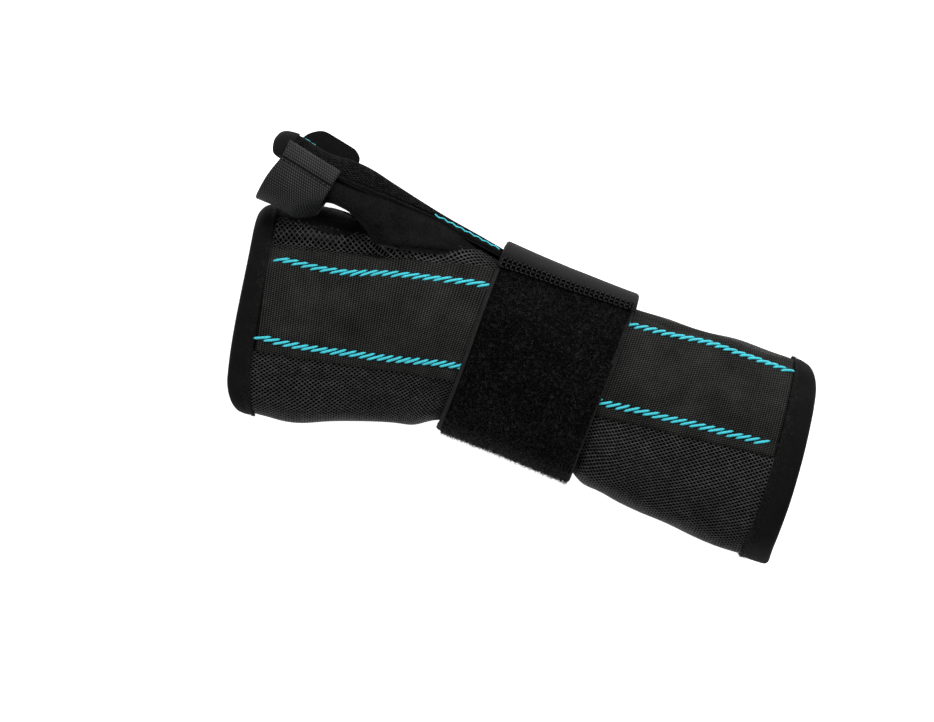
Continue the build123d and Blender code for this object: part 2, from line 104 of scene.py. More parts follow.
# ---- thumb: distance along it, height of its axis, lining radius ------------------------------
THUMB_AIM = radians(11.0)
THUMB_FROM = (-113.0, 36.0, 117.8)
THUMB = np.array((
    (140.0, 38.0, 11.0), (128.0, 38.0, 11.0), (114.0, 38.0, 11.0), (104.0, 38.0, 11.2), (97.0, 37.4, 12.2),
    (86.0, 35.4, 13.6), (60.0, 28.6, 13.8), (45.0, 26.4, 12.6), (34.0, 25.6, 11.0), (27.0, 25.4, 10.3),
))[::-1]
THUMB_TIP = 131.6
# guard: distance, axis height, radial shift, inner radius, lower angle, upper angle
GUARD = np.array((
    (135.6, 38.0, 0.0, 11.25, -75, 55),
    (128.0, 38.0, 0.0, 11.25, -75, 55),
    (114.0, 38.0, 0.0, 11.25, -75, 55),
    (104.0, 38.0, 2.2, 11.6, -75, 55),
    (97.0, 37.4, 2.0, 12.6, -74, 53),
    (86.0, 35.4, 0.4, 14.0, -68, 46),
    (60.0, 28.6, 0.0, 14.3, -48, 32),
    (45.0, 27.4, 0.0, 14.9, -36, 28),
    (35.2, 26.8, 0.0, 15.1, -30, 24),
))[::-1]
# thumb strap: its two sides along the thumb, inner radius, centre off the axis, sewn end in degrees, tab
TSTRAP = (106.7, 131.2)
TSTRAP_MID, TSTRAP_IN = (TSTRAP[0] + TSTRAP[1]) / 2, 14.4
TSTRAP_CENTRE = (0.5, -0.4)
TSTRAP_START, TSTRAP_TAB = 58.0, 19.8

# ---- wrist strap ------------------------------------------------------------------------------
STRAP_HALF = 28.6
STRAP_REST = 3.45
SEAM_Y = (29.6, 34.0)


# ---- curves and surfaces ----------------------------------------------------------------------
def between(x, zero, one):
    """0 as far as `zero`, 1 from `one` on, an even slope from one to the other."""
    return np.clip((x - zero) / (one - zero), 0, 1)


def bell(x, at, width):
    """Rounded bump, 1 high, at a place."""
    return np.exp(-((x - at) / width) ** 2)


def dome(rise):
    """Quarter round that goes from 0 to 1 with its foot."""
    return np.sqrt(1 - (1 - rise) ** 2)


def round_end(left, radius):
    """How far a round corner has drawn a side in, with `left` mm to go to the end."""
    return radius - np.sqrt(np.maximum(radius**2 - (radius - np.minimum(left, radius)) ** 2, 0.0))


def value(given, *place):
    """A number as it is, or what a function says at a place."""
    return given(*place) if callable(given) else given


def smooth(knots, rows, x):
    """Values at x on a smooth curve through rows given at rising knots."""
    rows = np.asarray(rows, float).reshape(len(knots), -1)
    knots = np.asarray(knots, float)
    x = np.clip(np.asarray(x, float), knots[0], knots[-1])
    step = np.diff(knots)[:, None]
    slope = np.diff(rows, axis=0) / step
    inner = (slope[:-1] * step[1:] + slope[1:] * step[:-1]) / (step[1:] + step[:-1])
    m = np.vstack((slope[:1], inner, slope[-1:]))
    i = np.clip(np.searchsorted(knots, x, side="right") - 1, 0, len(knots) - 2)
    h = step[i, 0]
    u = ((x - knots[i]) / h)[..., None]
    h = h[..., None]
    return (rows[i] * (2 * u**3 - 3 * u**2 + 1) + rows[i + 1] * (3 * u**2 - 2 * u**3)
            + h * m[i] * (u**3 - 2 * u**2 + u) + h * m[i + 1] * (u**3 - u**2))


def section(t):
    """Section values at t: centre, yaw, width and so on, and the arcs' lengths."""
    x, y, yaw, a, h, b, r1, r2 = np.moveaxis(smooth(SLEEVE[:, 0], SLEEVE, t), -1, 0)
    rise = h - r1
    r3 = ((a - r2) ** 2 + rise**2 - r2**2) / (2 * (rise - r2))
    crown = pi / 2 - np.arctan2(r3 - rise, a - r2)
    l1 = r3 * crown
    l2 = l1 + r2 * (pi / 2 - crown)
    l3 = l2 + r1 * pi / 2
    return x, y, np.radians(yaw), a, b, r1, r2, r3, rise, crown, l1, l2, l3


def limb(t, w, d=0.0):
    """Point of the sleeve: t along the forearm, w round it from the crown (+ radial), d out of the lining."""
    t, w, d = np.broadcast_arrays(np.asarray(t, float), np.asarray(w, float), np.asarray(d, float))
    x, y, yaw, a, b, r1, r2, r3, rise, crown, l1, l2, l3 = section(t)
    q = np.abs(w)
    f1, f2, f3 = q / r3, crown + (q - l1) / r2, pi / 2 + (q - l2) / r1
    wide = b + r1
    v = np.where(q < l1, (r3 + d) * np.sin(f1), np.where(
        q < l2, a - r2 + (r2 + d) * np.sin(f2), np.where(
            q < l3, a - r1 + (r1 + d) * np.sin(f3), a - r1 - (q - l3))))
    z = np.where(q < l1, wide + rise - r3 + (r3 + d) * np.cos(f1), np.where(
        q < l2, wide + (r2 + d) * np.cos(f2), np.where(q < l3, wide + (r1 + d) * np.cos(f3), b - d)))
    v = v * np.sign(w)
    return np.stack((x - np.sin(yaw) * v, y + np.cos(yaw) * v, z), -1)


def half_round(t):
    """Length from the crown to the middle of the underside."""
    s = section(t)
    return s[12] + s[3] - s[5]


def unroll(x, y, below=False):
    """The sleeve's t and w of plan points on its upper (or lower) face."""
    x, y = np.asarray(x, float), np.asarray(y, float)
    t = x.copy()
    for _ in range(40):
        cx, cy, yaw = section(t)[:3]
        t = t + 0.8 * ((x - cx) * np.cos(yaw) + (y - cy) * np.sin(yaw))
    cx, cy, yaw, a, b, r1, r2, r3, rise, crown, l1, l2, l3 = section(t)
    v = -(x - cx) * np.sin(yaw) + (y - cy) * np.cos(yaw)
    q = np.abs(v)
    if below:
        w = l3 + a - r1 - q
    else:
        on_crown = q <= r3 * np.sin(crown)
        w = np.where(on_crown, r3 * np.arcsin(np.clip(q / r3, 0, 1)),
                     l1 + r2 * (np.arcsin(np.clip((q - a + r2) / r2, 0, 1)) - crown))
    return t, w * np.sign(v)


def plan_edge(points, shift=0.0):
    """Function t -> w of a plan curve drawn on the palm."""
    points = np.array(points, float)
    x = np.linspace(points[0, 0], points[-1, 0], 400)
    y = smooth(points[:, 0], points[:, 1], x)[..., 0] + shift
    t, w = unroll(x, y)
    order = np.argsort(t)
    return lambda at: np.interp(at, t[order], w[order])


pocket_radial, pocket_ulnar, web_seam = plan_edge(PALM_RADIAL), plan_edge(PALM_ULNAR), plan_edge(WEB_SEAM)


def thumb_frame(t):
    """Centre of the thumb's axis in plan."""
    d = np.asarray(t, float) - THUMB_FROM[2]
    return THUMB_FROM[0] - d * cos(THUMB_AIM), THUMB_FROM[1] + d * sin(THUMB_AIM)


def on_thumb(t, across, up):
    """Point beside the thumb's axis line at t: across to the radial side, up in Z."""
    cx, cy = thumb_frame(t)
    t, across, up = np.broadcast_arrays(t, across, up)
    return np.stack((cx + across * sin(THUMB_AIM), cy + across * cos(THUMB_AIM), up + 0 * t), -1)


def squash(t):
    """Share of its radius that the thumb tube keeps on its palm side: the web pulls it flat."""
    stations = (66.0, 78.0, 88.0, 96.0, 104.0, 110.0, 116.0)
    return np.interp(t, stations, (0.92, 0.52, 0.25, 0.14, 0.25, 0.60, 1.0))


def tube(t, angle, d=0.0):
    """Point of the thumb tube's lining, angle in degrees from radial towards up."""
    z, r = np.moveaxis(smooth(THUMB[:, 0], THUMB[:, 1:], t), -1, 0)
    a = np.radians(angle)
    across = (r + d) * np.cos(a)
    return on_thumb(t, np.where(across < 0, across * squash(t), across), z + (r + d) * np.sin(a))


def thumb_distance(p):
    """How far points lie outside the thumb tube's lining."""
    x, y, height = np.moveaxis(np.asarray(p, float), -1, 0)
    t = (THUMB_FROM[0] - x) * cos(THUMB_AIM) + (y - THUMB_FROM[1]) * sin(THUMB_AIM) + THUMB_FROM[2]
    cx, cy = thumb_frame(t)
    z, r = np.moveaxis(smooth(THUMB[:, 0], THUMB[:, 1:], t), -1, 0)
    across = (x - cx) * sin(THUMB_AIM) + (y - cy) * cos(THUMB_AIM)
    across = np.where(across < 0, across / squash(t), across)
    return np.hypot(across, height - z) - r, t


def band(x, w, d=0.0):
    """Point of the wrist strap, whose section is the same all along x."""
    side = between(np.abs(w), 26.0, 34.0) * between(np.abs(w), 74.0, 64.0)
    radial = np.asarray(w) > 0
    tilt = np.where(radial, np.where(x > 0, -0.01, -0.05), np.where(x > 0, 0.04, 0.012)) * x
    p = limb(0.0, w, STRAP_REST + d + (np.where(radial, 0.65, 1.05) + tilt) * side)
    return p + np.stack((x + 0 * w, 0 * w, 0 * w), -1)


def thumb_low(t):
    """Where the mesh begins below the thumb tube, as a length round the sleeve, for hand stations."""
    w = np.linspace(10, 110, 600)
    found = []
    for v in np.atleast_1d(t):
        ww = w[w < half_round(v)]
        p = limb(v, ww, 0.9)
        away, _ = thumb_distance(p)
        blocked = (away < 0.6) | (p[:, 2] > np.interp(v, (-94.0, -80.0), (14.0, 26.2)))
        found.append(ww[blocked].max() + 0.25 if blocked.any() else 0.0)
    return np.array(found)


HAND_T = np.linspace(-120.0, -36.0, 64)
LOW_W = thumb_low(HAND_T)


def low_edge(t):
    """Length round the sleeve to the mesh's border below the thumb."""
    return np.interp(t, HAND_T, LOW_W)


LIFT_T, LIFT_W = np.arange(-112.0, -18.0, 1.0), np.arange(-6.0, 64.0, 1.0)


def find_lift():
    """How far the base of the thumb raises the cloth over the palm."""
    t, w = np.meshgrid(LIFT_T, LIFT_W, indexing="ij")
    away = thumb_distance(limb(t, w))[0]
    low, high = np.zeros_like(t), np.full_like(t, 26.0)
    for _ in range(16):
        mid = (low + high) / 2
        inside = thumb_distance(limb(t, w, mid))[0] < 0
        low, high = np.where(inside, mid, low), np.where(inside, high, mid)
    need = np.where(away < 0, low, -away)
    soft = 0.5 * (need + np.sqrt(need**2 + 3.0)) - 0.12
    for _ in range(3):
        for axis in (0, 1):
            soft = 0.25 * np.roll(soft, 1, axis) + 0.5 * soft + 0.25 * np.roll(soft, -1, axis)
    soft = np.clip(soft, 0, None) * between(LIFT_W, -6.0, 2.0)[None]
    return soft * between(t, -112.0, -100.0) * between(t, -20.0, -32.0)


LIFT = find_lift()


def lift(t, w):
    """Lift at stations t and lengths w, read off the table."""
    u = np.clip(t - LIFT_T[0], 0, len(LIFT_T) - 1.001)
    v = np.clip(w - LIFT_W[0], 0, len(LIFT_W) - 1.001)
    i, j = u.astype(int), v.astype(int)
    u, v = u - i, v - j
    fade = between(np.minimum(web_seam(t) + 7.0, low_edge(t) - 1.0) - w, 0.0, 4.0)
    flat = fade * ((1 - u) * ((1 - v) * LIFT[i, j] + v * LIFT[i, j + 1])
                   + u * ((1 - v) * LIFT[i + 1, j] + v * LIFT[i + 1, j + 1]))
    return np.where((w > LIFT_W[0]) & (w < LIFT_W[-1]), flat, 0.0)


def web_swell(t, w):
    """The rolled edge of the web stands out from the hand."""
    rise = between(t, -120.0, -114.0) * between(t, -72.0, -84.0)
    side = between(lateral(t, w), 0.66, 0.92)
    tall = 2.8 + 2.6 * bell(t, -92.0, 8.0)
    return tall * rise * rise * (3 - 2 * rise) * side * side * (3 - 2 * side)


def lateral(t, w):
    """Sideways place of a point of the section, as a share of its half width."""
    p = limb(t, w)
    x, y, yaw, a = section(t)[:4]
    return (-(p[..., 0] - x) * np.sin(yaw) + (p[..., 1] - y) * np.cos(yaw)) / a


def corner(t, v):
    """How far the cloth is drawn back at the rounded corners of the finger end and the elbow end."""
    v = np.clip(v, -1, 1)
    q = between(np.abs(v), 0.72, 1.0)
    hand = np.where(v < 0, 4.2, 0.6) * (1 - np.sqrt(1 - 0.97 * q**2)) * between(t, -97.0, -117.0)
    q = between(np.abs(v), 0.78, 1.0)
    elbow = np.where(v < 0, 1.4, -3.6) * (1 - np.sqrt(1 - 0.97 * q**2)) * between(t, 90.0, 110.0)
    return hand + elbow


def relief(t, w):
    """Gentle unevenness that every layer of the sleeve shares, in mm."""
    t, w = np.broadcast_arrays(np.asarray(t, float), np.asarray(w, float))
    calm = between(np.abs(t), 30.0, 44.0) * np.clip((118.0 - np.abs(t)) / 9.0, 0.15, 1)
    soft = (0.4 * np.sin(0.11 * t + 0.7) * np.sin(0.13 * w + 1.9) + 0.3 * np.sin(0.21 * t - 0.16 * w + 0.4)
            + 0.2 * np.sin(0.33 * w + 0.09 * t + 2.2))
    hand = between(t, -38.0, -50.0) * between(t, -117.0, -107.0)
    fold = -3.1 * hand * bell(w, pocket_radial(t) + 2.6, 2.5)
    swell = 0.9 * hand * bell(w, pocket_radial(t) + 9.5, 3.6)
    hollow = (-2.8 * bell(t, -96.0, 14.0) * bell(w, 7.0, 8.5)
              - 1.4 * bell(t, -63.0, 10.0) * bell(w, -6.0, 10.0)
              + 1.2 * bell(t, -79.0, 7.5) * bell(w, 5.0, 8.0))
    ulnar = -0.9 * bell(t, -92.0, 13.0) * bell(w, -25.0, 3.5)
    arm = 0.7 * np.sin((t + 0.6 * w) / 9.0) * bell(t, 52.0, 16.0) * bell(w, -30.0, 22.0)
    side = between(w, -26.0, -36.0)
    beside = side * (3.0 * bell(t, 33.0, 6.5) + 2.0 * bell(t, -37.0, 11.0)
                     + 1.1 * bell(t, -92.0, 22.0) + 0.9 * bell(t, 90.0, 20.0))
    beside = beside + 0.6 * between(w, 30.0, 40.0) * bell(t, 97.0, 14.0)
    return beside + calm * (soft + fold + swell + hollow + ulnar + arm)


def dots(i, j):
    """Raised points of a weave: every other point, staggered from row to row."""
    return (i % 2 == 0) & ((j + (i // 2) % 2) % 2 == 0)


# ---- mesh makers ------------------------------------------------------------------------------
collection = bpy.context.scene.collection


def new_object(name, points, faces, uv=None, smooth_faces=True):
    """Mesh object from points in mm; uv is one (u, v) in mm per point."""
    mesh = bpy.data.meshes.new(name)
    mesh.from_pydata((np.asarray(points).reshape(-1, 3) * MM).tolist(), [], [tuple(f) for f in faces])
    if smooth_faces:
        mesh.polygons.foreach_set("use_smooth", [True] * len(mesh.polygons))
    if uv is not None:
        layer = mesh.uv_layers.new(name="cloth")
        corner = np.empty(len(mesh.loops), int)
        mesh.loops.foreach_get("vertex_index", corner)
        layer.data.foreach_set("uv", np.asarray(uv, float).reshape(-1, 2)[corner].ravel())
    mesh.update()
    ob = bpy.data.objects.new(name, mesh)
    collection.objects.link(ob)
    return ob


def set_weave_light(ob, values):
    """Point attribute, 0 to 1, that woven looks turn into colour: near 1 a painted highlight, near 0 painted
    shade.
    """
    layer = ob.data.attributes.new("weave_light", "FLOAT", "POINT")
    layer.data.foreach_set("value", np.asarray(values, np.float32).ravel())
    return ob


def grid_faces(n, m, start=0, wrap=False, flip=False):
    """Quads of an n by m grid of points."""
    i, j = np.meshgrid(np.arange(n - 1), np.arange(m if wrap else m - 1), indexing="ij")
    k = (j + 1) % m
    quads = np.stack((i * m + j, i * m + k, (i + 1) * m + k, (i + 1) * m + j), -1).reshape(-1, 4) + start
    return quads[:, ::-1] if flip else quads


def tube_faces(n, m, flip=False):
    """Faces of n rings of m points joined into a tube and closed at both ends."""
    ends = [list(range(m - 1, -1, -1)), [(n - 1) * m + k for k in range(m)]]
    faces = grid_faces(n, m, wrap=True).tolist() + ends
    return [face[::-1] for face in faces] if flip else faces


def closed_sheet(name, top, under, uv, flip=False):
    """Sheet between two grids of points, closed along its border; uv is a pair of grids in mm."""
    n, m = top.shape[:2]
    rim = np.concatenate((np.arange(m), np.arange(1, n) * m + m - 1, (n - 1) * m + np.arange(m - 2, -1, -1),
                          np.arange(n - 2, 0, -1) * m))
    after = np.roll(rim, -1)
    sides = np.stack((rim, after, after + n * m, rim + n * m), -1)[:, ::-1]
    faces = np.concatenate((grid_faces(n, m), grid_faces(n, m, n * m, flip=True), sides))
    if flip:
        faces = faces[:, ::-1]
    points = np.concatenate((top.reshape(-1, 3), under.reshape(-1, 3)))
    uv = np.stack(uv, -1).reshape(-1, 2)
    return new_object(name, points, faces.tolist(), np.concatenate((uv, uv)))


def slab(name, surface, ts, ws, out, inn, edge=0.0, flip=False):
    """Closed sheet between two offsets of surface(t, w, d), its border rounded over `edge` mm.

    ts is a row of t; ws(t) gives the row of w at each t, or is a plain row.
    """
    t = np.asarray(ts, float)[:, None]
    w = np.array([ws(v) for v in ts]) if callable(ws) else np.broadcast_to(ws, (len(ts), len(ws)))
    t = np.broadcast_to(t, w.shape)
    out = np.broadcast_to(value(out, t, w), w.shape).copy()
    inn = np.broadcast_to(value(inn, t, w), w.shape).copy()
    if edge:
        near_t = np.minimum(np.abs(t - t[0]), np.abs(t - t[-1]))
        near_w = np.minimum(np.abs(w - w[:, :1]), np.abs(w - w[:, -1:]))
        u = between(np.minimum(near_t, near_w), edge, 0.0)
        out -= (out - inn) * 0.5 * (1 - np.sqrt(1 - np.minimum(u, 0.995) ** 2))
        inn += (out - inn) * 0.2 * u**2
    return closed_sheet(name, surface(t, w, out), surface(t, w, inn), (t, w), flip)


def strands(name, starts, ends, radius, normal=None, sides=6, bow=0.0, rings=5):
    """Rounded threads from starts to ends, bowed out along normal in the middle."""
    starts, ends = np.asarray(starts, float), np.asarray(ends, float)
    count = len(starts)
    axis = ends - starts
    length = np.linalg.norm(axis, axis=1, keepdims=True)
    axis = axis / np.maximum(length, 1e-9)
    up = np.asarray(normal, float) if normal is not None else np.tile((0, 0, 1.0), (count, 1))
    side = np.cross(axis, up)
    side /= np.maximum(np.linalg.norm(side, axis=1, keepdims=True), 1e-9)
    up = np.cross(side, axis)
    f = np.linspace(0, 1, rings)
    fat = np.sqrt(np.clip(1 - (2 * f - 1) ** 6, 0.02, 1))
    lift = bow * np.sin(pi * f)
    a = np.linspace(0, 2 * pi, sides, endpoint=False)
    core = starts[:, None] + (ends - starts)[:, None] * f[None, :, None] + up[:, None] * lift[None, :, None]
    round_a, round_b = np.cos(a)[None, None, :, None], np.sin(a)[None, None, :, None]
    ring = side[:, None, None] * round_a + up[:, None, None] * round_b
    pts = core[:, :, None] + ring * (radius * fat)[None, :, None, None]
    one = tube_faces(rings, sides, flip=True)
    faces = [[strand * rings * sides + k for k in face] for strand in range(count) for face in one]
    return new_object(name, pts.reshape(-1, 3), faces)


def tube_along(name, points, radius, sides=8):
    """Cord of even thickness along points, in mm."""
    points = np.asarray(points, float)
    tan = np.gradient(points, axis=0)
    tan /= np.linalg.norm(tan, axis=1, keepdims=True)
    ref = np.array((0.0, 0.0, 1.0))
    side = np.cross(tan, ref)
    side /= np.maximum(np.linalg.norm(side, axis=1, keepdims=True), 1e-6)
    up = np.cross(side, tan)
    a = np.linspace(0, 2 * pi, sides, endpoint=False)
    radius = np.broadcast_to(radius, (len(points),))
    pts = points[:, None] + radius[:, None, None] * (side[:, None] * np.cos(a)[None, :, None]
                                                     + up[:, None] * np.sin(a)[None, :, None])
    return new_object(name, pts.reshape(-1, 3), tube_faces(len(points), sides, flip=True))


# ---- materials --------------------------------------------------------------------------------
class Look:
    """A procedural material around one Principled shader; lengths in mm."""

    def __init__(self, name, roughness, sheen=0.0, specular=0.12, metallic=0.0):
        self.mat = bpy.data.materials.new(name)
        self.mat.use_nodes = True
        self.tree = self.mat.node_tree
        self.shader = self.tree.nodes["Principled BSDF"]
        self.shader.inputs["Roughness"].default_value = roughness
        self.shader.inputs["Specular IOR Level"].default_value = specular
        self.shader.inputs["Metallic"].default_value = metallic
        self.shader.inputs["Sheen Weight"].default_value = sheen
        self.shader.inputs["Sheen Roughness"].default_value = 0.45

    def add(self, kind, inputs=(), **props):
        node = self.tree.nodes.new(kind)
        for key, value in props.items():
            setattr(node, key, value)
        for key, value in dict(inputs).items():
            if isinstance(value, bpy.types.NodeSocket):
                self.tree.links.new(value, node.inputs[key])
            else:
                node.inputs[key].default_value = value
        return node

    def math(self, kind, a, b=0.0):
        return self.add("ShaderNodeMath", {0: a, 1: b}, operation=kind).outputs[0]

    def cloth(self):
        """The cloth's own coordinates in mm, as two sockets."""
        uv = self.add("ShaderNodeUVMap", uv_map="cloth").outputs[0]
        parts = self.add("ShaderNodeSeparateXYZ", {0: uv})
        return parts.outputs[0], parts.outputs[1]

    def wave(self, along, pitch):
        """0 to 1 wave along a coordinate."""
        angle = self.math("MULTIPLY", along, 2 * pi / pitch)
        return self.math("MULTIPLY", self.math("ADD", self.math("SINE", angle), 1.0), 0.5)

    def noise(self, size, detail=2.0, stretch=(1.0, 1.0, 1.0)):
        place = self.add("ShaderNodeTexCoord").outputs["Object"]
        scaled = self.add("ShaderNodeMapping", {0: place, "Scale": stretch}).outputs[0]
        return self.add("ShaderNodeTexNoise", {"Vector": scaled, "Scale": 1000.0 / size, "Detail": detail,
                                               "Roughness": 0.6}).outputs[0]

    def uneven(self, main, fine, slub, broad, patches):
        """A pattern with a share of fine grain and with broad paler and darker patches."""
        mixed = self.math("ADD", self.math("MULTIPLY", main, 1.0 - slub), self.math("MULTIPLY", fine, slub))
        return self.math("ADD", mixed, self.math("MULTIPLY", self.math("SUBTRACT", broad, 0.5), patches))

    def ramp(self, fac, *stops):
        """Colour along fac; each stop is (place, grey or rgb)."""
        node = self.add("ShaderNodeValToRGB", {0: fac})
        band = node.color_ramp
        while len(band.elements) < len(stops):
            band.elements.new(0.5)
        for element, (place, tone) in zip(band.elements, stops):
            element.position = place
            tone = (tone,) * 3 if isinstance(tone, (int, float)) else tone
            element.color = (*tone, 1.0)
        return node.outputs[0]

    def colour(self, socket):
        self.tree.links.new(socket, self.shader.inputs["Base Color"])
        return self

    def bump(self, height, depth, strength):
        node = self.add("ShaderNodeBump", {"Height": height, "Strength": strength, "Distance": depth * MM})
        self.tree.links.new(node.outputs[0], self.shader.inputs["Normal"])
        return self


def woven(name, dark, light, depth, roughness=0.75, sheen=0.04, specular=0.15, tint=(1, 1, 1), slub=0.3):
    """Woven cloth whose floats are in the mesh: a point attribute tells which points lie high, and the colour
    paints them lighter (painted highlight) and the low ones darker (painted shade).
    """
    look = Look(name, roughness, sheen, specular)
    high = look.add("ShaderNodeAttribute", attribute_name="weave_light").outputs["Fac"]
    fine, broad = look.noise(0.5, 3.0), look.noise(11.0, 3.0)
    mixed = look.uneven(high, fine, slub, broad, 0.3)
    tone = lambda k: tuple(k * c for c in tint)
    middle = 0.24 * light + 0.3 * dark
    # painted highlight and shade: lighter where the attribute is high, on raised floats and thread tops,
    # darker where it is low; the fine grain and broad patches are the cloth's own uneven tone
    look.colour(look.ramp(mixed, (0.18, tone(dark)), (0.42, tone(middle)), (0.74, tone(light))))
    look.bump(fine, depth, 0.8)
    return look.mat


def knit(name, dark, light, pitch_u, pitch_v, depth, roughness=0.8, sheen=0.08, specular=0.12, slub=0.4):
    """Fine knit drawn on the cloth's coordinates."""
    look = Look(name, roughness, sheen, specular)
    u, v = look.cloth()
    over = look.math("MULTIPLY", look.math("SUBTRACT", look.wave(u, pitch_u), 0.5),
                     look.math("SUBTRACT", look.wave(v, pitch_v), 0.5))
    weave = look.math("ADD", look.math("MULTIPLY", over, 2.0), 0.5)
    fine, broad = look.noise(0.45, 3.0), look.noise(9.0, 3.0)
    mixed = look.uneven(weave, fine, slub, broad, 0.35)
    # painted highlight and shade: the colour follows the knit's bump height, lighter on raised loops and
    # darker between them; the fine grain and broad patches are the cloth's own uneven tone
    look.colour(look.ramp(mixed, (0.25, dark), (0.5, (dark + light) / 2), (0.8, light)))
    look.bump(look.math("ADD", weave, look.math("MULTIPLY", fine, 0.5)), depth, 0.8)
    return look.mat


def fuzzy(name, dark, light, grain, depth, roughness=0.9, sheen=0.08, specular=0.1, span=(0.35, 0.68)):
    """Brushed or knitted cloth with a grain of about `grain` mm."""
    look = Look(name, roughness, sheen, specular)
    fine, broad = look.noise(grain, 4.0), look.noise(grain * 14, 2.0)
    mixed = look.math("ADD", look.math("MULTIPLY", fine, 0.75), look.math("MULTIPLY", broad, 0.25))
    look.colour(look.ramp(mixed, (span[0], dark), (span[1], light)))
    look.bump(fine, depth, 0.9)
    return look.mat


def thread_look(name, dark, light, twist=0.9, roughness=0.55, sheen=0.05, specular=0.25):
    """Twisted thread: fine slanted plies and some uneven colour."""
    look = Look(name, roughness, sheen, specular)
    fine = look.noise(twist * 0.35, 3.0)
    look.colour(look.ramp(fine, (0.3, dark), (0.62, light)))
    look.bump(fine, 0.12, 0.8)
    return look.mat


lining_look = fuzzy("lining_cloth", 0.003, 0.012, 0.6, 0.12)
backing_look = fuzzy("mesh_backing", 0.0006, 0.0025, 0.5, 0.08, sheen=0.01, specular=0.02)
net_look = woven("mesh_thread", 0.0012, 0.056, 0.05, roughness=0.42, sheen=0.01, specular=0.2, slub=0.5)
guard_net_look = woven("guard_mesh_thread", 0.001, 0.024, 0.05, roughness=0.9, sheen=0.0, specular=0.02,
                       slub=0.5)
# painted shade: near-black for the walls and floors of the nets' holes and for the strip between the ladder's
# stitches
shade_look = fuzzy("painted_shade", 0.0004, 0.0012, 0.5, 0.02, sheen=0.0, specular=0.01)
pocket_look = woven("pocket_twill", 0.0005, 0.054, 0.08, sheen=0.01, specular=0.06, tint=(1.0, 1.0, 0.94),
                    slub=0.4)
cyan_look = thread_look("cyan_thread", (0.010, 0.26, 0.31), (0.07, 0.66, 0.77))
binding_look = knit("binding_cloth", 0.0008, 0.0092, 0.7, 0.6, 0.08, roughness=0.9, sheen=0.02, specular=0.05)
velour_look = fuzzy("stretch_velour", 0.0006, 0.0105, 0.5, 0.14, sheen=0.02, specular=0.05)
elastic_look = woven("woven_elastic", 0.0045, 0.062, 0.08, roughness=0.65, sheen=0.01, specular=0.12)
laminate_look = fuzzy("strap_laminate", 0.0010, 0.0088, 0.6, 0.05, roughness=0.75, sheen=0.02, specular=0.08)
pile_look = fuzzy("loop_pile", 0.0002, 0.002, 0.8, 0.25, roughness=0.9, sheen=0.01, specular=0.03)
fibre_look = fuzzy("pile_fibres", 0.0001, 0.024, 1.5, 0.02, roughness=0.5, sheen=0.0, specular=0.10,
                   span=(0.46, 0.66))
black_thread = thread_look("black_thread", 0.004, 0.022, specular=0.1)
selvedge_look = fuzzy("strap_selvedge", 0.006, 0.022, 0.5, 0.05, sheen=0.01, specular=0.08)
hook_look = fuzzy("hook_tape", 0.003, 0.010, 0.5, 0.15, roughness=0.5, sheen=0.0, specular=0.2)
fluff_look = fuzzy("lint", 0.004, 0.026, 2.0, 0.02, roughness=0.7, sheen=0.0, specular=0.1)


def dress(ob, *looks, slot=None, body="sleeve", replaces=()):
    """Give a piece its materials, its body and the CAD nodes that it stands for; its slot is not used."""
    for look in looks:
        ob.data.materials.append(look)
    if body:
        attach(ob, body)
    if replaces:
        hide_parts(*replaces)
    return ob


# ---- sleeve: lining and the gusset over the thumb web -----------------------------------------
def skin(t, w, d=0.0):
    """The sleeve's surface as worn: uneven, raised by the thumb's base, round at its corners."""
    t, w, d = np.broadcast_arrays(np.asarray(t, float), np.asarray(w, float), np.asarray(d, float))
    return limb(t + corner(t, lateral(t, w)), w, d + relief(t, w) + lift(t, w) + web_swell(t, w))


def palm_rings():
    """Rings of the hand and forearm tube."""
    ts = np.linspace(-127.0, 118.0, 156)
    share = np.linspace(-1, 1, 240, endpoint=False)
    t = np.broadcast_to(ts[:, None], (len(ts), len(share)))
    w = share * half_round(ts)[:, None]
    return limb(t, w, web_swell(t, w))


def thumb_rings():
    """Rings of the thumb's tube."""
    t = np.linspace(27.0, 140.0, 90)[:, None]
    return tube(t, np.linspace(0, 360, 72, endpoint=False)[None])


# in plan the thumb's tube lies on the radial side of this y, the fingers' opening on the other
BESIDE_THUMB = 24.5


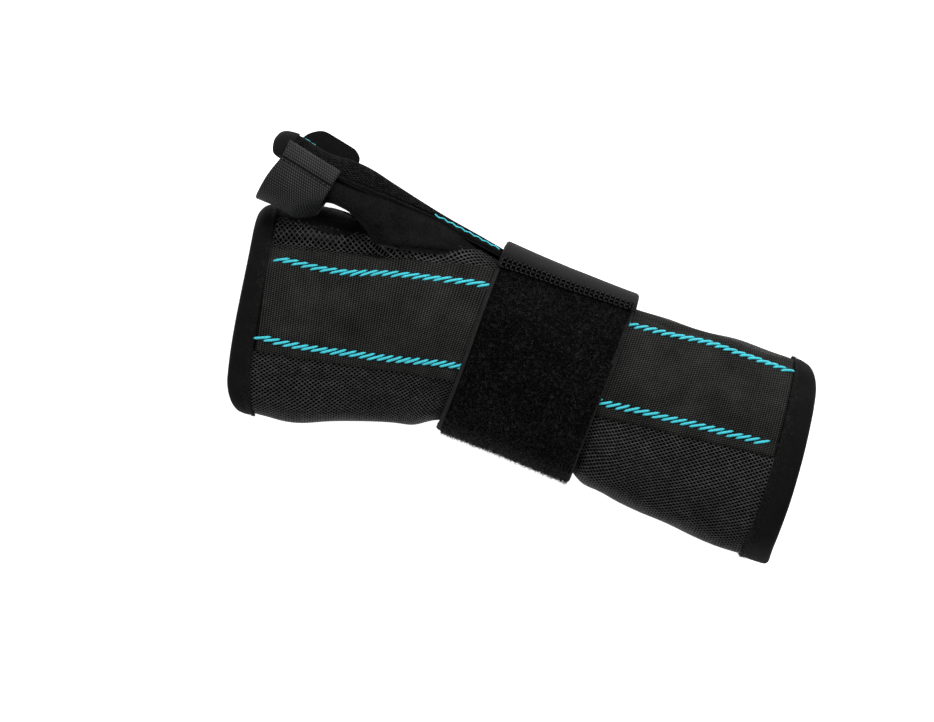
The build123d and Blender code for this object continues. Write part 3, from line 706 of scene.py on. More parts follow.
def union_skin(voxel):
    """Outer skin of palm tube and thumb tube as one mesh, open at its three ends (bmesh, mm)."""
    points, faces = [], []
    for rings in (palm_rings(), thumb_rings()):
        faces += [[k + len(points) for k in face] for face in tube_faces(*rings.shape[:2])]
        points += rings.reshape(-1, 3).tolist()
    ob = new_object("skin_source", points, faces)
    mod = ob.modifiers.new("voxel", "REMESH")
    mod.mode, mod.voxel_size = "VOXEL", voxel * MM
    bpy.context.view_layer.update()
    ready = ob.evaluated_get(bpy.context.evaluated_depsgraph_get())
    bm = bmesh.new()
    bm.from_mesh(ready.data)
    bpy.data.objects.remove(ob)
    for v in bm.verts:
        v.co /= MM
    for _ in range(5):
        bmesh.ops.smooth_vert(bm, verts=bm.verts, factor=0.5, use_axis_x=True, use_axis_y=True,
                              use_axis_z=True)

    def cut(centre, normal, near):
        geom = [f for f in bm.faces if near(f.calc_center_median())]
        geom += list({e for f in geom for e in f.edges}) + list({v for f in geom for v in f.verts})
        bmesh.ops.bisect_plane(bm, geom=geom, plane_co=centre, plane_no=normal, clear_outer=True)

    # the bindings' cloth covers 1.2 mm of each end, the guard's tip 3.4 mm of the thumb's
    c, k = cos(DISTAL_YAW), sin(DISTAL_YAW)
    cut((DISTAL[0] + 1.2 * c, DISTAL[1] + 1.2 * k, 0), (-c, -k, 0),
        lambda p: p.x < -95 and p.y < BESIDE_THUMB)
    c, k = cos(PROXIMAL_YAW), sin(PROXIMAL_YAW)
    cut((PROXIMAL[0] - 1.2 * c, PROXIMAL[1] - 1.2 * k, 0), (c, k, 0), lambda p: p.x > 90)
    tip = thumb_frame(THUMB_TIP - 3.4)
    cut((*tip, 0), (-cos(THUMB_AIM), sin(THUMB_AIM), 0), lambda p: p.x < -105 and p.y > BESIDE_THUMB)
    return bm


def relief_at(p):
    """The shared unevenness at points of the sleeve."""
    t, w = unroll(p[:, 0], p[:, 1])
    low = p[:, 2] < 24.0
    w = np.where(low, np.sign(w) * (half_round(t) - np.abs(w)), w)
    return relief(t, w)


def shell_from(bm, name, inner, outer, keep=None):
    """Closed cloth between two offsets of a bmesh skin; keep picks the faces that stay."""
    bm = bm.copy()
    if keep is not None:
        centres = np.array([f.calc_center_median()[:] for f in bm.faces])
        stay = keep(centres)
        bmesh.ops.delete(bm, geom=[f for f, s in zip(bm.faces, stay) if not s], context="FACES")
    bm.normal_update()
    bm.verts.index_update()
    co = np.array([v.co[:] for v in bm.verts])
    no = np.array([v.normal[:] for v in bm.verts])
    faces = [[v.index for v in f.verts] for f in bm.faces]
    rim = [[e.verts[0].index, e.verts[1].index, e.link_faces[0]] for e in bm.edges if e.is_boundary]
    wave = relief_at(co)[:, None]
    t, w = unroll(co[:, 0], co[:, 1])
    cx, cy, yaw, half = section(t)[:4]
    v = (-(co[:, 0] - cx) * np.sin(yaw) + (co[:, 1] - cy) * np.cos(yaw)) / half
    back = np.where((co[:, 0] < -95) & (co[:, 1] > BESIDE_THUMB), 0.0, corner(t, v))
    co = co + back[:, None] * np.stack((np.ones_like(t), 0.2 + 0 * t, 0 * t), -1)
    high, low = co + no * (outer + wave), co + no * (inner + wave)
    n = len(co)
    out = faces + [[k + n for k in reversed(f)] for f in faces]
    for a, b, f in rim:
        ring = [v.index for v in f.verts]
        if ring[(ring.index(a) + 1) % len(ring)] != b:
            a, b = b, a
        out.append([b, a, a + n, b + n])
    bm.free()
    uv = np.stack((co[:, 0], co[:, 1] * 0.7 + co[:, 2]), -1)
    return new_object(name, np.concatenate((high, low)), out, np.concatenate((uv, uv)))


def find_palm_end(t):
    """Where the palm's mesh meets the velour: the seam is a plan curve, read on the raised surface."""
    found = []
    seam = np.array(WEB_SEAM)
    for v in t:
        w = np.linspace(float(pocket_radial(v)) + 0.5, float(web_seam(v)) + 9.0, 160)
        p = skin(v, w, 0.9)
        past = p[:, 1] > np.interp(p[:, 0], seam[:, 0], seam[:, 1])
        found.append(w[np.argmax(past)] if past.any() else w[-1])
    found = np.array(found)
    return np.convolve(np.pad(found, 1, mode="edge"), (0.25, 0.5, 0.25), "valid")


PALM_END = find_palm_end(HAND_T)


def palm_end(t):
    """Length round the sleeve to the seam between the palm's mesh and the velour."""
    return np.interp(t, HAND_T, PALM_END)


skin_mesh = union_skin(1.15)


def gusset_area(c):
    """Which faces of the skin the velour covers: the thumb's tube and the web."""
    away, t = thumb_distance(c)
    seam_t, seam_w = unroll(c[:, 0], c[:, 1])
    on_thumb_tube = (away < 0.5) & ((c[:, 2] < 25.0) | (seam_w > web_seam(seam_t) - 2.2) | (seam_t > -37))
    deep = np.interp(seam_t, (-94.0, -80.0), (13.0, 25.0))
    web = (c[:, 2] > deep) & (c[:, 1] > 5) & (seam_w > web_seam(seam_t) - 2.2) & (seam_t < -37)
    return (on_thumb_tube & (c[:, 0] < -28)) | web


lining = dress(shell_from(skin_mesh, "sleeve_lining", -2.0, 0.0), lining_look, slot="lining_cloth",
               replaces=("lining_sleeve",))
gusset = dress(shell_from(skin_mesh, "thumb_velour", 0.25, 1.0, gusset_area), velour_look,
               slot="stretch_velour", replaces=("thumb_gusset",))
skin_mesh.free()
seam_run = np.linspace(-115.5, -36.5, 130)
seam_height = 0.95 + 0.12 * np.sin(seam_run * 2.1)
web_cord = tube_along("web_seam_fold", skin(seam_run, palm_end(seam_run) + 0.2, seam_height), 0.5)
dress(web_cord, velour_look, slot="stretch_velour")

zigzag_t = np.arange(61.0, 101.0, 1.3)
zigzag_a = 104.0 + 5.0 * (np.arange(len(zigzag_t)) % 2) + np.interp(zigzag_t, (61, 80, 101), (4, 10, -2))
dress(tube_along("velour_zigzag", tube(zigzag_t, zigzag_a, 1.15), 0.3, 6), velour_look, slot="stretch_velour")


# ---- outer mesh: dark backing and a raised diamond net ----------------------------------------
def net(name, surface, inside, t_span, w_span, pitch, floor, top, thread=0.2):
    """Net of diamond cells, one hollow each, over the part of a surface where inside(t, w)."""
    a, b = pitch[0] / 2, pitch[1] / 2
    ni, nj = int((t_span[1] - t_span[0]) / a) + 1, int((w_span[1] - w_span[0]) / b) + 1
    i, j = np.meshgrid(np.arange(ni), np.arange(nj), indexing="ij")
    t, w = t_span[0] + i * a, w_span[0] + j * b
    cell = ((i + j) % 2 == 1) & (i > 0) & (i < ni - 1) & (j > 0) & (j < nj - 1) & inside(t, w)
    ci, cj = np.nonzero(cell)
    step = np.array(((-1, 0), (0, 1), (1, 0), (0, -1)))
    corner = np.stack([(ci + di) * nj + cj + dj for di, dj in step], -1)
    used, corner = np.unique(corner, return_inverse=True)
    corner = corner.reshape(-1, 4)
    kt, kw = t_span[0] + (used // nj) * a, w_span[0] + (used % nj) * b
    reach = a * b / np.hypot(a, b)
    inner, bottom = 1 - thread / reach, 1 - 1.45 * thread / reach
    ct, cw = t[cell], w[cell]
    parts = [surface(kt, kw, top + 0 * kt)]
    for scale, depth in ((inner, 0.72 * top + 0.28 * floor), (bottom, floor)):
        pt = ct[:, None] + step[None, :, 0] * a * scale
        pw = cw[:, None] + step[None, :, 1] * b * scale
        parts.append(surface(pt, pw, depth + 0 * pt).reshape(-1, 3))
    n, first = len(ct), len(used)
    ring = first + 4 * np.arange(n)[:, None] + np.arange(4)[None]
    deep = ring + 4 * n
    nxt = lambda q: np.roll(q, -1, axis=1)
    top_faces = np.stack((corner, nxt(corner), nxt(ring), ring), -1).reshape(-1, 4)
    walls = np.stack((ring, nxt(ring), nxt(deep), deep), -1).reshape(-1, 4)
    faces = np.concatenate((top_faces, walls, deep))
    ob = new_object(name, np.concatenate(parts), faces.tolist())
    # the walls and floors of the holes take the second material, near-black painted shade
    slots = np.concatenate((np.zeros(4 * n, int), np.ones(5 * n, int)))
    ob.data.polygons.foreach_set("material_index", slots)
    # painted glints: random thread tops get values from 0.4 to 1, lighter at random; the rims round the holes
    # get 0.34, painted shade
    painted_glint = np.random.default_rng(2).uniform(0.0, 1.0, first) ** 2 * 0.6 + 0.4
    return set_weave_light(ob, np.concatenate((painted_glint, np.full(4 * n, 0.34), np.zeros(4 * n))))


BACK_HALF = 14.0


def dorsal_edge(t):
    """Length round the sleeve to the dorsal pocket's edge."""
    return half_round(t) - BACK_HALF


# the mesh panels run from T0 to T1; up to ARM_T the thumb parts the radial one in two
T0, T1, ARM_T = -117.3, 109.6, -37.5
ulnar_rows = lambda t: np.linspace(float(pocket_ulnar(t)) + 0.6, -float(dorsal_edge(t)) - 0.6, 60)
radial_rows = lambda t: np.linspace(float(pocket_radial(t)) - 0.6, float(dorsal_edge(t)) + 0.6, 60)
palm_rows = lambda t: np.linspace(float(pocket_radial(t)) - 0.6, float(palm_end(t)) + 0.2, 24)
under_rows = lambda t: np.linspace(float(low_edge(t)), float(dorsal_edge(t)) + 0.6, 40)
BACKING = (0.62, 0.25)


def join(name, *obs):
    """Several meshes as one object."""
    bm = bmesh.new()
    layer = bm.loops.layers.uv.new("cloth")
    for ob in obs:
        bm.from_mesh(ob.data)
    mesh = bpy.data.meshes.new(name)
    bm.to_mesh(mesh)
    bm.free()
    for ob in obs:
        bpy.data.objects.remove(ob)
    made = bpy.data.objects.new(name, mesh)
    collection.objects.link(made)
    return made


arm_t, hand_t = np.arange(ARM_T, T1, 1.6), np.append(np.arange(T0, ARM_T, 1.3), ARM_T)
backing_ulnar = slab("mesh_backing_ulnar", skin, np.arange(T0, T1, 1.6), ulnar_rows, *BACKING, flip=True)
backing_radial = join("mesh_backing_radial",
                      slab("part_a", skin, arm_t, radial_rows, *BACKING),
                      slab("part_b", skin, hand_t, palm_rows, *BACKING),
                      slab("part_c", skin, hand_t, under_rows, *BACKING))
NET_PITCH, NET_HEIGHT = (2.15, 1.6), (0.66, 1.45)


def in_ulnar(t, w):
    """The ulnar panel: from the palm's pocket round to the dorsal one."""
    return (w < pocket_ulnar(t) + 1.0) & (w > -dorsal_edge(t) - 1.0) & (t > T0 + 1) & (t < T1 - 1)


def in_radial(t, w):
    """The radial panel, parted by the thumb in the hand."""
    whole = (w > pocket_radial(t) - 1.0) & (w < dorsal_edge(t) + 1.0) & (t > T0 + 1) & (t < T1 - 1)
    hand = (w < palm_end(t) - 0.1) | (w > low_edge(t) + 0.9)
    return whole & ((t > ARM_T) | hand)


net_ulnar = net("mesh_net_ulnar", skin, in_ulnar, (T0, T1), (-112.0, 3.0), NET_PITCH, *NET_HEIGHT)
net_radial = net("mesh_net_radial", skin, in_radial, (T0, T1), (0.0, 112.0), NET_PITCH, *NET_HEIGHT)
for side, backing, knots in (("ulnar", backing_ulnar, net_ulnar), ("radial", backing_radial, net_radial)):
    dress(backing, backing_look, slot="diamond_mesh")
    # the net's threads carry painted glints and shade, its holes near-black painted shade
    dress(knots, net_look, shade_look, slot="diamond_mesh", replaces=(f"mesh_panel_{side}",))


# ---- stay pockets -----------------------------------------------------------------------------
def pocket_height(t, w, lo, hi, tall, groove):
    """Height of a pocket over the lining: folded edges, sewn lines and a soft crown."""
    edge = np.minimum(w - lo, hi - w)
    inside = np.clip((edge - groove) / np.maximum((hi - lo) / 2 - groove, 1), 0, 1)
    h = 1.0 + (tall - 1.0) * dome(between(edge, 0.0, 1.5)) + 0.42 * np.sin(inside * pi / 2)
    h = h - 0.38 * bell(edge, groove, 1.3)
    calm = between(np.abs(t), 29.0, 39.0)
    return h + calm * (0.16 * np.sin(t / 7.3) * np.sin(w / 4.1 + 1) + 0.12 * np.sin(t / 3.9 + w / 6.5))


END_ROUND = 1.6


def pocket_cover(name, lo, hi, t0, t1, tall, groove, step_t, step_w, weave):
    """Closed cloth cover; its outer face carries a woven relief of alternate high and low points."""
    ts = np.arange(t0, t1, step_t)
    width = float(np.max([hi(t) - lo(t) for t in ts]))
    count = int(width / step_w)
    share = np.linspace(0, 1, count)
    t = np.broadcast_to(ts[:, None], (len(ts), count))
    a, b = np.array([lo(v) for v in ts])[:, None], np.array([hi(v) for v in ts])[:, None]
    w = a + (b - a) * share[None]
    h = pocket_height(t, w, a, b, tall, groove)
    h = 1.0 + (h - 1.0) * dome(between(np.minimum(t - t0, t1 - t), 0.0, END_ROUND))
    raised = dots(*np.indices(t.shape))
    h = h + np.where(raised, weave, -weave)
    ob = closed_sheet(name, skin(t, w, h), skin(t, w, np.minimum(h - 0.5, 0.7)), (t, w))
    # the raised points are painted lighter and the low ones darker: painted highlight and shade on the weave
    return set_weave_light(ob, np.tile(raised.ravel(), 2))


PALM_T0, PALM_T1, PALM_TALL = DISTAL_T + 8.0, PROXIMAL_T - 10.4, 2.55
palm_cover = pocket_cover("palmar_pocket_cloth", pocket_ulnar, pocket_radial, PALM_T0, PALM_T1, PALM_TALL,
                          LINE_INSET, 0.50, 0.47, 0.09)
dress(palm_cover, pocket_look, slot="pocket_twill", replaces=("palmar_pocket_cover",))


def underside(t, w, d=0.0):
    """Point of the flat underside, w from its middle line."""
    half = half_round(t)
    return limb(t, np.where(w >= 0, half - w, -(half + w)), d)


def back_cover():
    """The dorsal pocket, pressed flat where the wrist strap passes below it."""
    ts = np.arange(DISTAL_T + 21.0, PROXIMAL_T - 25.0, 0.7)
    t, w = np.meshgrid(ts, np.linspace(-BACK_HALF, BACK_HALF, 48), indexing="ij")
    h = pocket_height(t, w, -BACK_HALF, BACK_HALF, 2.3, 4.5)
    h = 1.0 + (h - 1.0) * dome(between(np.minimum(t - ts[0], ts[-1] - t), 0.0, END_ROUND))
    h = np.minimum(h, 2.55 + 0.4 * between(np.abs(t), 30.0, 36.0))
    raised = dots(*np.indices(t.shape))
    h = h + np.where(raised, 0.06, -0.06)
    ob = closed_sheet("dorsal_pocket_cloth", underside(t, w, h), underside(t, w, 0.6), (t, w), flip=True)
    # the raised points are painted lighter and the low ones darker: painted highlight and shade on the weave
    return set_weave_light(ob, np.tile(raised.ravel(), 2))


dress(back_cover(), pocket_look, slot="pocket_twill", replaces=("dorsal_pocket_cover",))


# ---- cyan stitching: a row of slanted stitches along each side of the palm's pocket -------------
STITCH, SLANT, STITCH_PITCH = 7.0, radians(21.0), 3.75


def slanted_row(name, line, t0, t1, height, radius=0.53):
    """A row of slanted stitches that overlap side by side."""
    starts, ends, normals = [], [], []
    rng = np.random.default_rng(7)
    for k in range(int((t1 - t0) / STITCH_PITCH)):
        c = t0 + (k + 0.5) * STITCH_PITCH + rng.normal(0, 0.07)
        half = STITCH / 2 * (1 + rng.normal(0, 0.03))
        slope = (float(line(c + 2)) - float(line(c - 2))) / 4
        ang = np.arctan(slope) + SLANT + rng.normal(0, 0.02)
        w = float(line(c)) + rng.normal(0, 0.07)
        dt, dw = half * cos(ang), half * sin(ang)
        a = skin(c - dt, w - dw, height(c - dt, w - dw))
        b = skin(c + dt, w + dw, height(c + dt, w + dw))
        up = skin(c, w, 3.0) - skin(c, w, 0.0)
        starts.append(a)
        ends.append(b)
        normals.append(up / np.linalg.norm(up))
    return strands(name, starts, ends, radius, normals, sides=10, bow=0.42, rings=9)


def palm_height(t, w):
    """Height of the stitches' cores: just over the pocket's cloth."""
    return pocket_height(t, w, pocket_ulnar(t), pocket_radial(t), PALM_TALL, LINE_INSET) + 0.12


for side, run, t0, t1 in (("radial", plan_edge(STITCH_RADIAL), PALM_T0 + 4.0, PALM_T1 - 0.6),
                          ("ulnar", plan_edge(STITCH_ULNAR), PALM_T0 + 0.4, PALM_T1 - 3.0)):
    line = slanted_row(f"cyan_stitches_{side}", run, t0, t1, palm_height)
    dress(line, cyan_look, slot="cyan_thread", replaces=(f"stitch_line_{side}",))


# ---- bindings ---------------------------------------------------------------------------------
def run_of(profile):
    """Length along a profile at each of its points."""
    return np.concatenate(((0,), np.cumsum(np.hypot(*np.diff(profile, axis=0).T))))


def subdivide(ob):
    """Let a folded edge turn round softly."""
    sub = ob.modifiers.new("smooth", "SUBSURF")
    sub.levels = sub.render_levels = 1


def binding(name, rim_at, sign, out_len, in_len, seed, replaces):
    """Binding folded over an end: a U-shaped profile carried round the sleeve."""
    profile = np.array((
        (out_len, 1.75), (out_len + 0.12, 2.2), (out_len - 0.25, 2.62), (out_len - 0.9, 2.72),
        (out_len - 1.7, 2.45), (out_len - 2.2, 2.35), (out_len - 2.9, 2.6), (out_len * 0.5, 2.72),
        (3.0, 2.7), (1.8, 2.55), (0.9, 2.15), (0.3, 1.4), (0.0, 0.4), (0.0, -0.9), (0.3, -2.0), (1.0, -2.8),
        (2.2, -3.1), (in_len * 0.5, -3.1), (in_len - 1.0, -3.1), (in_len, -2.9), (in_len + 0.1, -2.3),
        (in_len * 0.5, -2.2), (1.6, -2.15), (1.0, -1.4), (0.9, -0.5), (0.9, 0.4), (1.2, 1.2), (2.2, 1.6),
        (out_len * 0.5, 1.7)))
    rng = np.random.default_rng(seed)
    share = np.linspace(-1, 1, 460, endpoint=False)
    base_t = rim_at(0.0)
    w = share * half_round(base_t)
    v = lateral(base_t, w)
    phase = rng.uniform(0, 2 * pi, 6)
    waves = sum(np.sin(k * share * pi + p) / k**0.4 for k, p in zip((23, 31, 44, 57, 12, 71), phase)) / 3
    s, d = profile[:, 0][None], profile[:, 1][None]
    outside = between(d, 0.0, 2.0)
    near_hem = between(np.abs(s - out_len + 1.9), 3.5, 0.0)
    d = d + 0.2 * waves[:, None] * outside * (0.35 + near_hem)
    s = s + 0.16 * waves[:, None] * outside * near_hem
    rim = np.array([rim_at(x) for x in v])[:, None]
    t = rim + sign * s
    ww = share[:, None] * half_round(t)
    rings = skin(t, ww, d)
    n, k = rings.shape[:2]
    i, j = np.indices((n, k))
    ahead, beside = (i + 1) % n * k, (j + 1) % k
    faces = np.stack((i * k + j, ahead + j, ahead + beside, i * k + beside), -1).reshape(-1, 4)
    if sign > 0:
        faces = faces[:, ::-1]
    uv = np.stack(np.broadcast_arrays(ww, run_of(profile)[None]), -1).reshape(-1, 2)
    ob = new_object(name, rings.reshape(-1, 3), faces.tolist(), uv)
    subdivide(ob)
    return dress(ob, binding_look, slot="binding_cloth", replaces=replaces)


def distal_rim(v):
    """Station of the finger end at a sideways place."""
    round_off = 1 - min(abs(v), 1) ** 2
    return DISTAL_T - 0.15 + 0.77 * v - 0.7 * round_off + 1.3 * v * round_off


def proximal_rim(v):
    """Station of the elbow end at a sideways place."""
    return PROXIMAL_T - 0.25 + 0.9 * (1 - min(abs(v), 1) ** 2) + 0.75 * v


binding("finger_binding", distal_rim, 1, DISTAL_BIND, 8.2, 3, ("distal_binding",))
binding("elbow_binding", proximal_rim, -1, PROXIMAL_BIND, 10.6, 5, ("proximal_binding",))


def tufts(name, places, normals, seed, height, width, lean, look, slot_name, body):
    """Short bent ribbons standing on a surface."""
    rng = np.random.default_rng(seed)
    n = len(places)
    side = rng.normal(size=(n, 3))
    side -= (side * normals).sum(1, keepdims=True) * normals
    side /= np.linalg.norm(side, axis=1, keepdims=True)
    drift = np.cross(normals, side)
    tall = height * rng.uniform(0.6, 1.25, (n, 1))
    bend = lean * rng.uniform(0.4, 1.6, (n, 1))
    mid = places + normals * tall * 0.75 + drift * bend * 0.35
    end = places + normals * tall * rng.uniform(0.55, 1.15, (n, 1)) + drift * bend
    half = side * width / 2
    pts = np.stack((places - half, places + half, mid - half * 0.9, mid + half * 0.9, end - half * 0.5,
                    end + half * 0.5), 1)
    base = 6 * np.arange(n)[:, None]
    faces = np.concatenate((base + (0, 1, 3, 2), base + (2, 3, 5, 4)))
    ob = new_object(name, pts.reshape(-1, 3), faces.tolist())
    return dress(ob, look, slot=slot_name, body=body)


def normals_of(surface, t, w):
    """Directions straight out of a surface."""
    a = surface(t, w, 1.0) - surface(t, w, 0.0)
    return a / np.linalg.norm(a, axis=-1, keepdims=True)


def hem_fluff(name, rim_at, sign, out_len, count, seed):
    """Overlock threads and lint along a binding's inner edge."""
    rng = np.random.default_rng(seed)
    share = rng.uniform(-1, 1, count)
    base = rim_at(0.0)
    v = lateral(base + 0 * share, share * half_round(base))
    t = np.array([rim_at(x) for x in v]) + sign * (out_len - np.abs(rng.normal(0.4, 2.2, count)))
    w = share * half_round(t)
    tufts(name, skin(t, w, 2.62), normals_of(skin, t, w), seed + 1, 0.3, 0.10, 1.3,
          fluff_look, "binding_cloth", "sleeve")


hem_fluff("finger_binding_fluff", distal_rim, 1, DISTAL_BIND, 1100, 21)
hem_fluff("elbow_binding_fluff", proximal_rim, -1, PROXIMAL_BIND, 1100, 23)


# ---- thumb guard ------------------------------------------------------------------------------
def guard_values(t):
    """Axis height, radial shift, inner radius, lower and upper angle of the guard at t."""
    z, shift, r, a0, a1 = np.moveaxis(smooth(GUARD[:, 0], GUARD[:, 1:], t), -1, 0)
    return z, shift, r, a0, a1 + np.interp(t, (62.0, 84.0, 98.0, 112.0, 122.0), (0.0, 6.0, 14.0, 16.0, 0.0))


def guard_half(t):
    """Half the guard's width, measured round it."""
    z, shift, r, a0, a1 = guard_values(t)
    return (r + 1.5) * np.radians(a1 - a0) / 2


def guard_at(t, q, d=0.0):
    """Point of the guard, q mm round it from its middle line towards the palm."""
    z, shift, r, a0, a1 = guard_values(t)
    a = np.radians((a0 + a1) / 2) + q / (r + 1.5)
    d = d - 3.0 * between(t, 124.0, 136.0) ** 2 * np.clip(np.cos(a) + 0.1, 0, 1)
    return on_thumb(t, shift + (r + d) * np.cos(a), z + (r + d) * np.sin(a))


GT0, GT1 = 32.9, 135.0
guard_rows = lambda t: np.linspace(-float(guard_half(t)), float(guard_half(t)), 40)
guard_inner = slab("guard_lining", guard_at, np.arange(GT0, 133.4, 1.5), guard_rows, 0.72, 0.02, 0.6)
guard_body = slab("guard_shell", guard_at, np.arange(GT0, GT1, 1.5), guard_rows, 1.75, 0.78, 0.9)
dress(guard_inner, lining_look, slot="lining_cloth", replaces=("thumb_guard_lining",))
dress(guard_body, velour_look, slot="diamond_mesh", replaces=("thumb_guard_shell",))


def in_guard(t, q):
    """The guard's net stops short of its borders."""
    return (np.abs(q) < guard_half(t) - 1.5) & (t > GT0 + 1.2) & (t < 134.2)


# the guard's net: painted glints and shade on its threads, near-black painted shade in its holes
dress(net("guard_net", guard_at, in_guard, (GT0, GT1), (-24.0, 24.0), (1.9, 1.45), 1.72, 2.32, 0.18),
      guard_net_look, shade_look, slot="diamond_mesh")

edge_t = np.linspace(GT0 + 0.6, GT1 - 1.0, 120)
edge_cords = [tube_along(f"edge_{k}", guard_at(edge_t, side * (guard_half(edge_t) - 0.6), 1.7), 0.55)
              for k, side in enumerate((-1, 1))]
dress(join("guard_edging", *edge_cords), velour_look, slot="stretch_velour")

saw_t = np.arange(36.5, 66.0, 1.95)
saw_q = guard_half(saw_t) - 1.5 + np.where(np.arange(len(saw_t)) % 2 == 0, 0.55, -0.55)
saw = tube_along("saw", guard_at(saw_t, saw_q, 2.45), 0.3, 6)
tip_t = np.arange(121.0, 130.0, 1.95)
tip_q = -guard_half(tip_t) * 0.02 + np.where(np.arange(len(tip_t)) % 2 == 0, 0.4, -0.4)
tip_line = tube_along("tip_line", guard_at(tip_t, tip_q, 2.5), 0.26, 6)
dress(join("guard_cyan_stitches", saw, tip_line), cyan_look, slot="cyan_thread")


def guard_tip():
    """Cloth folded over the guard's tip."""
    profile = np.array((
        (7.6, 2.35), (7.4, 3.0), (6.4, 3.15), (4.0, 3.1), (2.0, 3.0), (0.8, 2.5), (0.1, 1.6), (0.0, 0.7),
        (0.4, -0.3), (1.4, -0.85), (3.0, -0.95), (6.0, -0.95), (6.2, -0.3), (3.0, -0.2), (1.3, 0.1),
        (1.1, 1.0), (1.5, 2.0), (3.0, 2.35), (6.0, 2.35)))
    a = np.linspace(-1, 1, 70)
    q = np.abs(a)
    corner = 4.2 * (1 - np.sqrt(1 - np.clip((q - 0.5) / 0.5, 0, 0.995) ** 2))
    t = 135.7 - corner[:, None] - profile[None, :, 0] * (1 - 0.25 * np.clip(q[:, None] - 0.7, 0, 1))
    half = float(guard_half(134.0)) + 1.0
    held = np.clip(t, 120, 135.6)
    around = a[:, None] * half * np.where(a[:, None] > 0, 1.36, 1.0)
    pts = guard_at(held, around, profile[None, :, 1])
    shift = t - held
    pts = pts + shift[..., None] * np.array((-cos(THUMB_AIM), sin(THUMB_AIM), 0.0))
    uv = np.stack(np.broadcast_arrays(a[:, None] * half, run_of(profile)[None]), -1).reshape(-1, 2)
    ob = new_object("guard_tip_binding", pts.reshape(-1, 3), tube_faces(*pts.shape[:2]), uv)
    subdivide(ob)
    return dress(ob, binding_look, slot="binding_cloth", replaces=("thumb_guard_binding",))


guard_tip()


# ---- thumb strap ------------------------------------------------------------------------------
STRAP_UP = 38.0
ARC_LEN = radians(270 - TSTRAP_START) * TSTRAP_IN
STRAP_LEN = ARC_LEN + TSTRAP_TAB + 0.9 - TSTRAP_CENTRE[0]
FOLD_END = radians(84 - TSTRAP_START) * TSTRAP_IN
STRAP_COLUMNS = 50


def strap_line(run):
    """Across, up and outward direction of the strap's inner face, at a length along it from the sewn end."""
    a = np.radians(TSTRAP_START) + np.minimum(run, ARC_LEN) / TSTRAP_IN
    past = np.maximum(run - ARC_LEN, 0)
    return (TSTRAP_CENTRE[0] + TSTRAP_IN * np.cos(a) + past, TSTRAP_CENTRE[1] + TSTRAP_IN * np.sin(a),
            np.cos(a), np.sin(a))


def drawn_in(t, across):
    """The strap's palm side is drawn in at the web and flares a little towards the tip."""
    pull = 5.2 * between(t, 114.5, 106.5) ** 1.6 - 1.2 * between(t, 118.0, 131.0)
    return across + pull * between(across, 0.0, -12.0) ** 1.3


def thumb_strap_sheet(name, runs, half_at, out, inn, drift):
    """Strap cloth: runs along it, half_at its half width, drift its slide along the thumb."""
    mid = TSTRAP_MID - 0.8
    r, s = np.meshgrid(runs, np.linspace(-1, 1, STRAP_COLUMNS), indexing="ij")
    half = np.array([value(half_at, v) for v in runs])[:, None]
    t = mid + s * half + np.array([value(drift, v) for v in runs])[:, None]
    ax, up, nx, nz = strap_line(r)
    t = t - 1.3 * np.clip(s, 0, 1) ** 2 * bell(ax, 2.5, 6.0) * bell(nz, 1.0, 0.8)
    raised = dots(*np.indices(r.shape))
    weave = np.where(raised, 0.05, -0.05)
    bow = (0.9 * bell(r, 29.0, 9.0) + 0.22 * np.sin(r / 6.3) * np.sin(3.3 * s + 0.8)
           + 0.12 * np.sin(r / 2.9 + 2 * s))
    edge = between((1 - np.abs(s)) * half, 0.7, 0.0)

    def place(d):
        return on_thumb(t, drawn_in(t, ax + nx * d), STRAP_UP + up + nz * d)

    outer = place(value(out, r) + bow + weave - 0.35 * edge**2)
    inner = place(value(inn, r) + bow + 0.2 * edge**2)
    ob = closed_sheet(name, outer, inner, (r, s * half), flip=True)
    # the raised points are painted lighter and the low ones darker: painted highlight and shade on the weave
    return set_weave_light(ob, np.tile(raised.ravel(), 2))


HALF_W = (TSTRAP[1] - TSTRAP[0]) / 2


def tab_half(run):
    """Half width, rounded off over the last 7 mm."""
    return HALF_W - round_end(STRAP_LEN - run, 7.0) * 0.96


def tab_drift(run):
    """The free tab slants towards the thumb's root."""
    return -4.0 * between(run, ARC_LEN, ARC_LEN + 18.0) ** 1.3


step = 0.5
last_runs = STRAP_LEN - np.array((1.0, 0.7, 0.45, 0.25, 0.1, 0.0))
runs = np.concatenate((np.arange(0, STRAP_LEN - 1.2, step), last_runs))
thumb_strap = thumb_strap_sheet("thumb_strap_elastic", runs, tab_half, 1.15, 0.05, tab_drift)
fold = thumb_strap_sheet("thumb_strap_fold", np.arange(-0.4, FOLD_END, step), HALF_W - 0.15,
                         lambda r: 2.2 - 0.5 * bell(r, -0.4, 0.6) - 0.45 * bell(r, FOLD_END, 0.8), 1.15, 0.0)


def plane_point(across, up):
    """Point in the middle of the strap's width, in metres."""
    return on_thumb(TSTRAP_MID, across, STRAP_UP + up).reshape(3) * MM


# two points in the strap's plane, hinge_a and hinge_b
hinge_a = np.array((-7.0, -13.4))
hinge_b = hinge_a + np.array((1.0, -0.9)) * 7.0 / 1.81
dress(thumb_strap, elastic_look, laminate_look, slot="woven_elastic", body=None,
      replaces=("thumb_strap", "thumb_strap_end"))
quads = STRAP_COLUMNS - 1
tab_from, face_end = (len(runs) - int(TSTRAP_TAB / step)) * quads, (len(runs) - 1) * quads
is_tab = np.zeros(len(thumb_strap.data.polygons), int)
for start in (0, face_end):
    is_tab[start + tab_from:start + face_end] = 1
thumb_strap.data.polygons.foreach_set("material_index", is_tab)
plane_point(*hinge_a)
plane_point(*hinge_b)
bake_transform(thumb_strap)
dress(fold, elastic_look, slot="woven_elastic")

seam_t = np.arange(TSTRAP[0] + 1.0, TSTRAP[1] - 1.0, 2.1)


